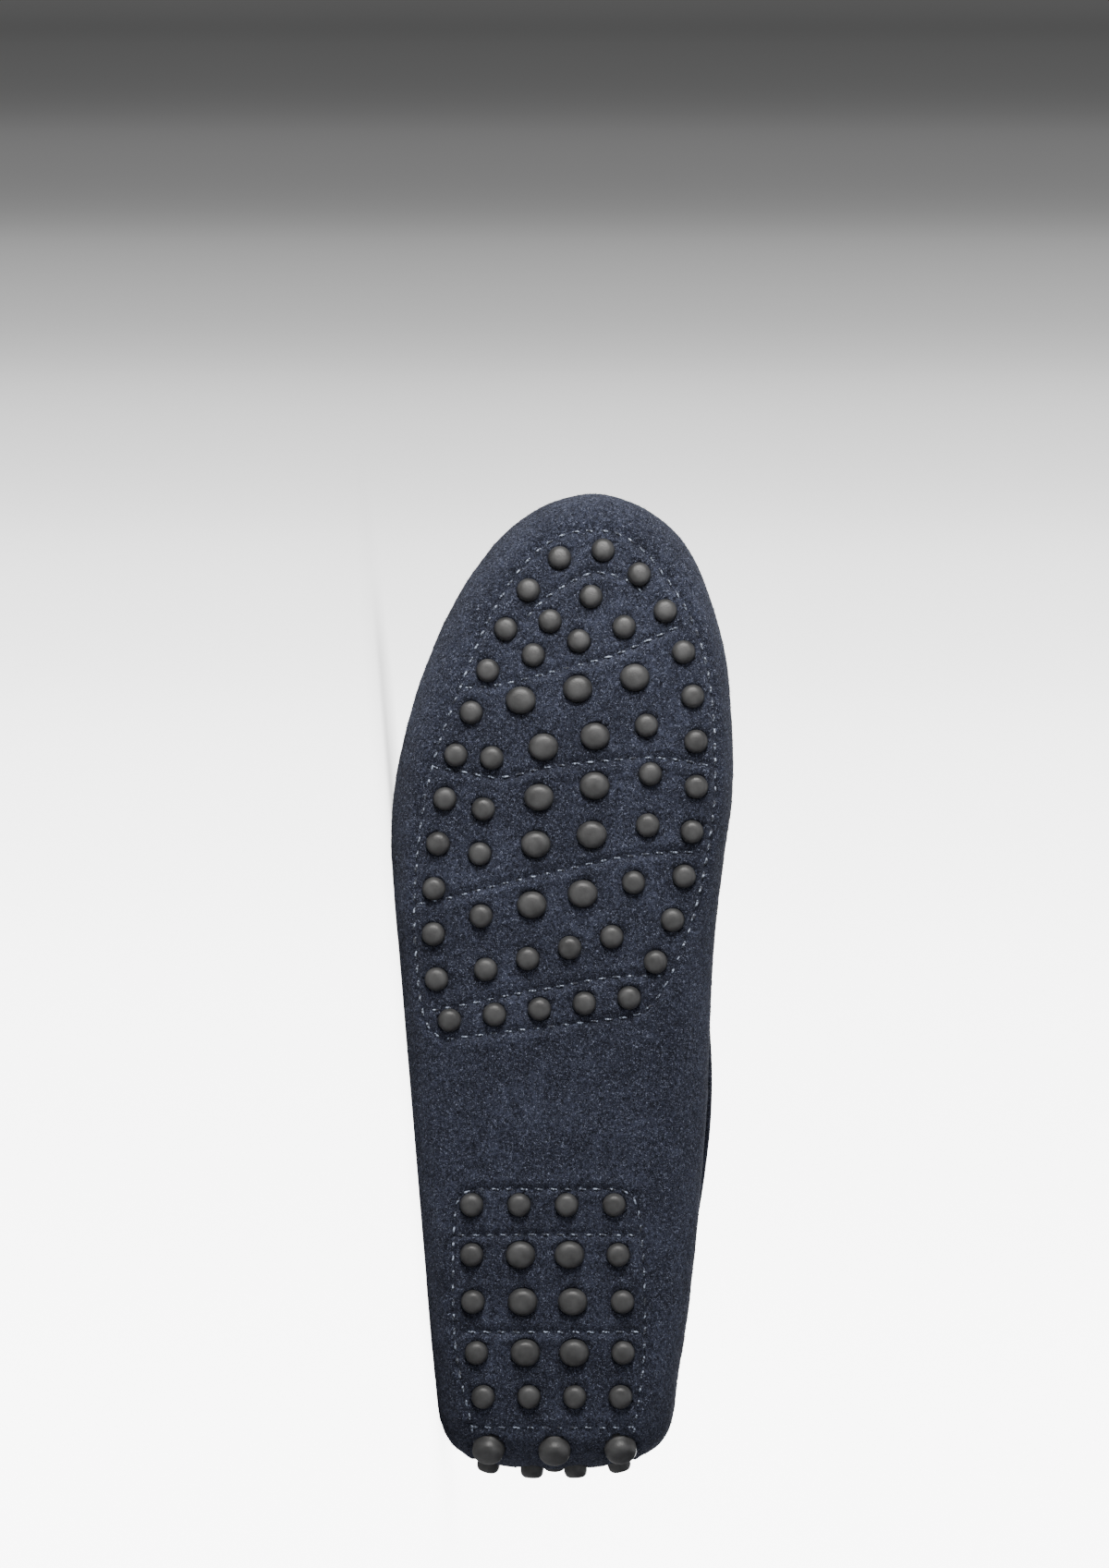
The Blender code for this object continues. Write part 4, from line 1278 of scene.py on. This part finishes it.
def paper_material():
    """Seamless paper with a painted glow that only the camera sees, painted darker to grey past
    the toe as light falloff.
    """
    made, graph, shader = new_material("pale_paper", (0.8, 0.8, 0.8), 1.0)
    step, sums = graph.step, graph.sums
    stand = SHOE_TO_ROW @ (AIM - UP * CAMERA_AWAY)
    reach = graph.node("VectorMath", {0: graph.place, 1: stand}, operation="SUBTRACT")["Vector"]

    def along(direction):
        turned = SHOE_TO_ROW.to_3x3() @ direction
        return graph.node("VectorMath", {0: reach, 1: turned}, operation="DOT_PRODUCT")["Value"]

    rise = along(AHEAD)
    depth = along(UP)
    half = PHOTO_SIZE[1] / PIXELS_A_METRE / 2 / CAMERA_AWAY
    slant = sums("DIVIDE", rise, sums("MAXIMUM", depth, 0.05))
    slant = sums("MULTIPLY", slant, step(depth, 0.12, 0.38))
    fade = graph.ramp(slant, 0.0, 1.0, -half, half)
    # Painted light falloff: the glow's share at each height of the picture, dimmest past the toe
    painted_falloff = [(share, (tone, tone, tone)) for share, tone in PAPER_PAINTED_FALLOFF]
    seen = graph.node("LightPath", {})["Is Camera Ray"]
    # Camera rays see almost none of the paper's own colour, so the painted glow stands in for its
    # lighting
    bare = sums("SUBTRACT", 1.0, sums("MULTIPLY", seen, 0.88))
    # A soft contact shadow, stronger behind the shoe and let out past its ends
    near = graph.node("AmbientOcclusion", {"Distance": 0.05}, samples=8)["AO"]
    split = graph.node("SeparateXYZ", {"Vector": graph.place})
    behind = sums("MULTIPLY", step(split["Y"], -0.03, 0.0), step(split["X"], -0.135, -0.10))
    behind = sums("MULTIPLY", behind, step(split["X"], 0.14, 0.11))
    contact = sums("ADD", sums("MULTIPLY", behind, 0.62), 0.22)
    shade = sums("SUBTRACT", 1.0, sums("MULTIPLY", sums("SUBTRACT", 1.0, near), contact))
    # The paper glows for camera rays only: painted light, not a lamp
    glow = sums("MULTIPLY", seen, PAPER_GLOW)
    # The base colour is also painted darker towards the toe, along with the glow's painted
    # falloff
    graph.fill(shader, {
        "Base Color": sums("MULTIPLY", graph.ramp(fade, 0.80, 0.004, 0.45, 0.78), bare),
        "Emission Color": graph.tint(fade, painted_falloff, "CARDINAL"),
        "Emission Strength": sums("MULTIPLY", glow, shade), "Specular IOR Level": 0.0,
    })
    return made


# The paper: its width, where its floor starts and bends up, and the radius of the bend
PAPER_WIDTH = 12.0
PAPER_RUN = 9.0
PAPER_START = -4.0
PAPER_BEND = 1.4
PAPER_RADIUS = 1.2


def make_studio():
    """A pale floor that sweeps up behind the shoe."""
    bm = bmesh.new()

    def spot(u, v):
        run = v * PAPER_RUN + PAPER_START
        x = (u - 0.5) * PAPER_WIDTH
        if run < PAPER_BEND:
            return Vector((x, run, 0.0))
        angle = min((run - PAPER_BEND) / PAPER_RADIUS, math.pi / 2)
        past = max(0.0, run - PAPER_BEND - PAPER_RADIUS * math.pi / 2)
        rise = PAPER_RADIUS * (1 - math.cos(angle)) + past
        return Vector((x, PAPER_BEND + PAPER_RADIUS * math.sin(angle), rise))

    sheet_grid(bm, 1, 40, spot)
    floor = to_object("studio_floor", bm, paper_material())
    floor.data.shade_smooth()


def make_camera():
    """A camera square to the sole, rolled so that the toe is up in the picture."""
    data = bpy.data.cameras.new("camera")
    data.sensor_fit = "VERTICAL"
    data.sensor_height = 36.0
    data.lens = 36.0 * CAMERA_AWAY / (PHOTO_SIZE[1] / PIXELS_A_METRE)
    camera = bpy.data.objects.new("camera", data)
    bpy.context.scene.collection.objects.link(camera)
    turn = SHOE_TO_ROW.to_3x3()
    right = turn @ Vector((-1.0, 0.0, 0.0))
    toe = turn @ AHEAD
    back = turn @ -UP
    camera.matrix_world = Matrix.Translation(SHOE_TO_ROW @ AIM + back * CAMERA_AWAY) @ Matrix(
        (right, toe, back)).transposed().to_4x4()
    bpy.context.scene.camera = camera


def area_light(name, place, size, power, tint=(1.0, 1.0, 1.0)):
    """A soft light that faces the shoe."""
    data = bpy.data.lights.new(name, "AREA")
    data.shape = "RECTANGLE"
    data.size, data.size_y = size
    data.energy = power
    data.color = tint
    light = bpy.data.objects.new(name, data)
    bpy.context.scene.collection.objects.link(light)
    light.location = place
    light.visible_camera = False
    aim = Vector((0.0, 0.0, 0.05)) - Vector(place)
    light.rotation_euler = aim.to_track_quat("-Z", "Y").to_euler()


def make_lights():
    """A small key low at one side, a large fill over the camera, a back and a top light."""
    area_light("key", (-0.50, -0.42, 0.13), (0.26, 0.26), 7.0, (1.0, 0.985, 0.965))
    area_light("fill", (-0.3, -1.7, 1.2), (2.0, 1.4), 9.0, (0.97, 0.98, 1.0))
    area_light("back", (0.15, 1.7, 0.75), (1.5, 0.9), 34.0, (0.97, 0.98, 1.0))
    area_light("top", (0.1, 0.15, 1.9), (1.4, 1.2), 7.0)
    world = bpy.data.worlds.new("studio_air")
    world.use_nodes = True
    graph = Graph(world.node_tree)
    seen = graph.node("LightPath", {})["Is Camera Ray"]
    graph.fill(world.node_tree.nodes["Background"], {
        "Color": (0.9, 0.92, 1.0, 1.0), "Strength": graph.ramp(seen, 0.22, 3.0)})
    bpy.context.scene.world = world


make_camera()
make_lights()
make_studio()
make_upper()
make_studs("forefoot_studs", FORE_AXES, FOREFOOT_PAD_ROWS, "forefoot_pad")
make_studs("heel_studs", HEEL_AXES, HEEL_PAD_ROWS, "heel_pad")
make_pad_stitches()
make_seam()
make_seam_stitches()
make_apron()
make_binding()
make_binding_stitches()
make_lining()
make_sock()
make_fibres()
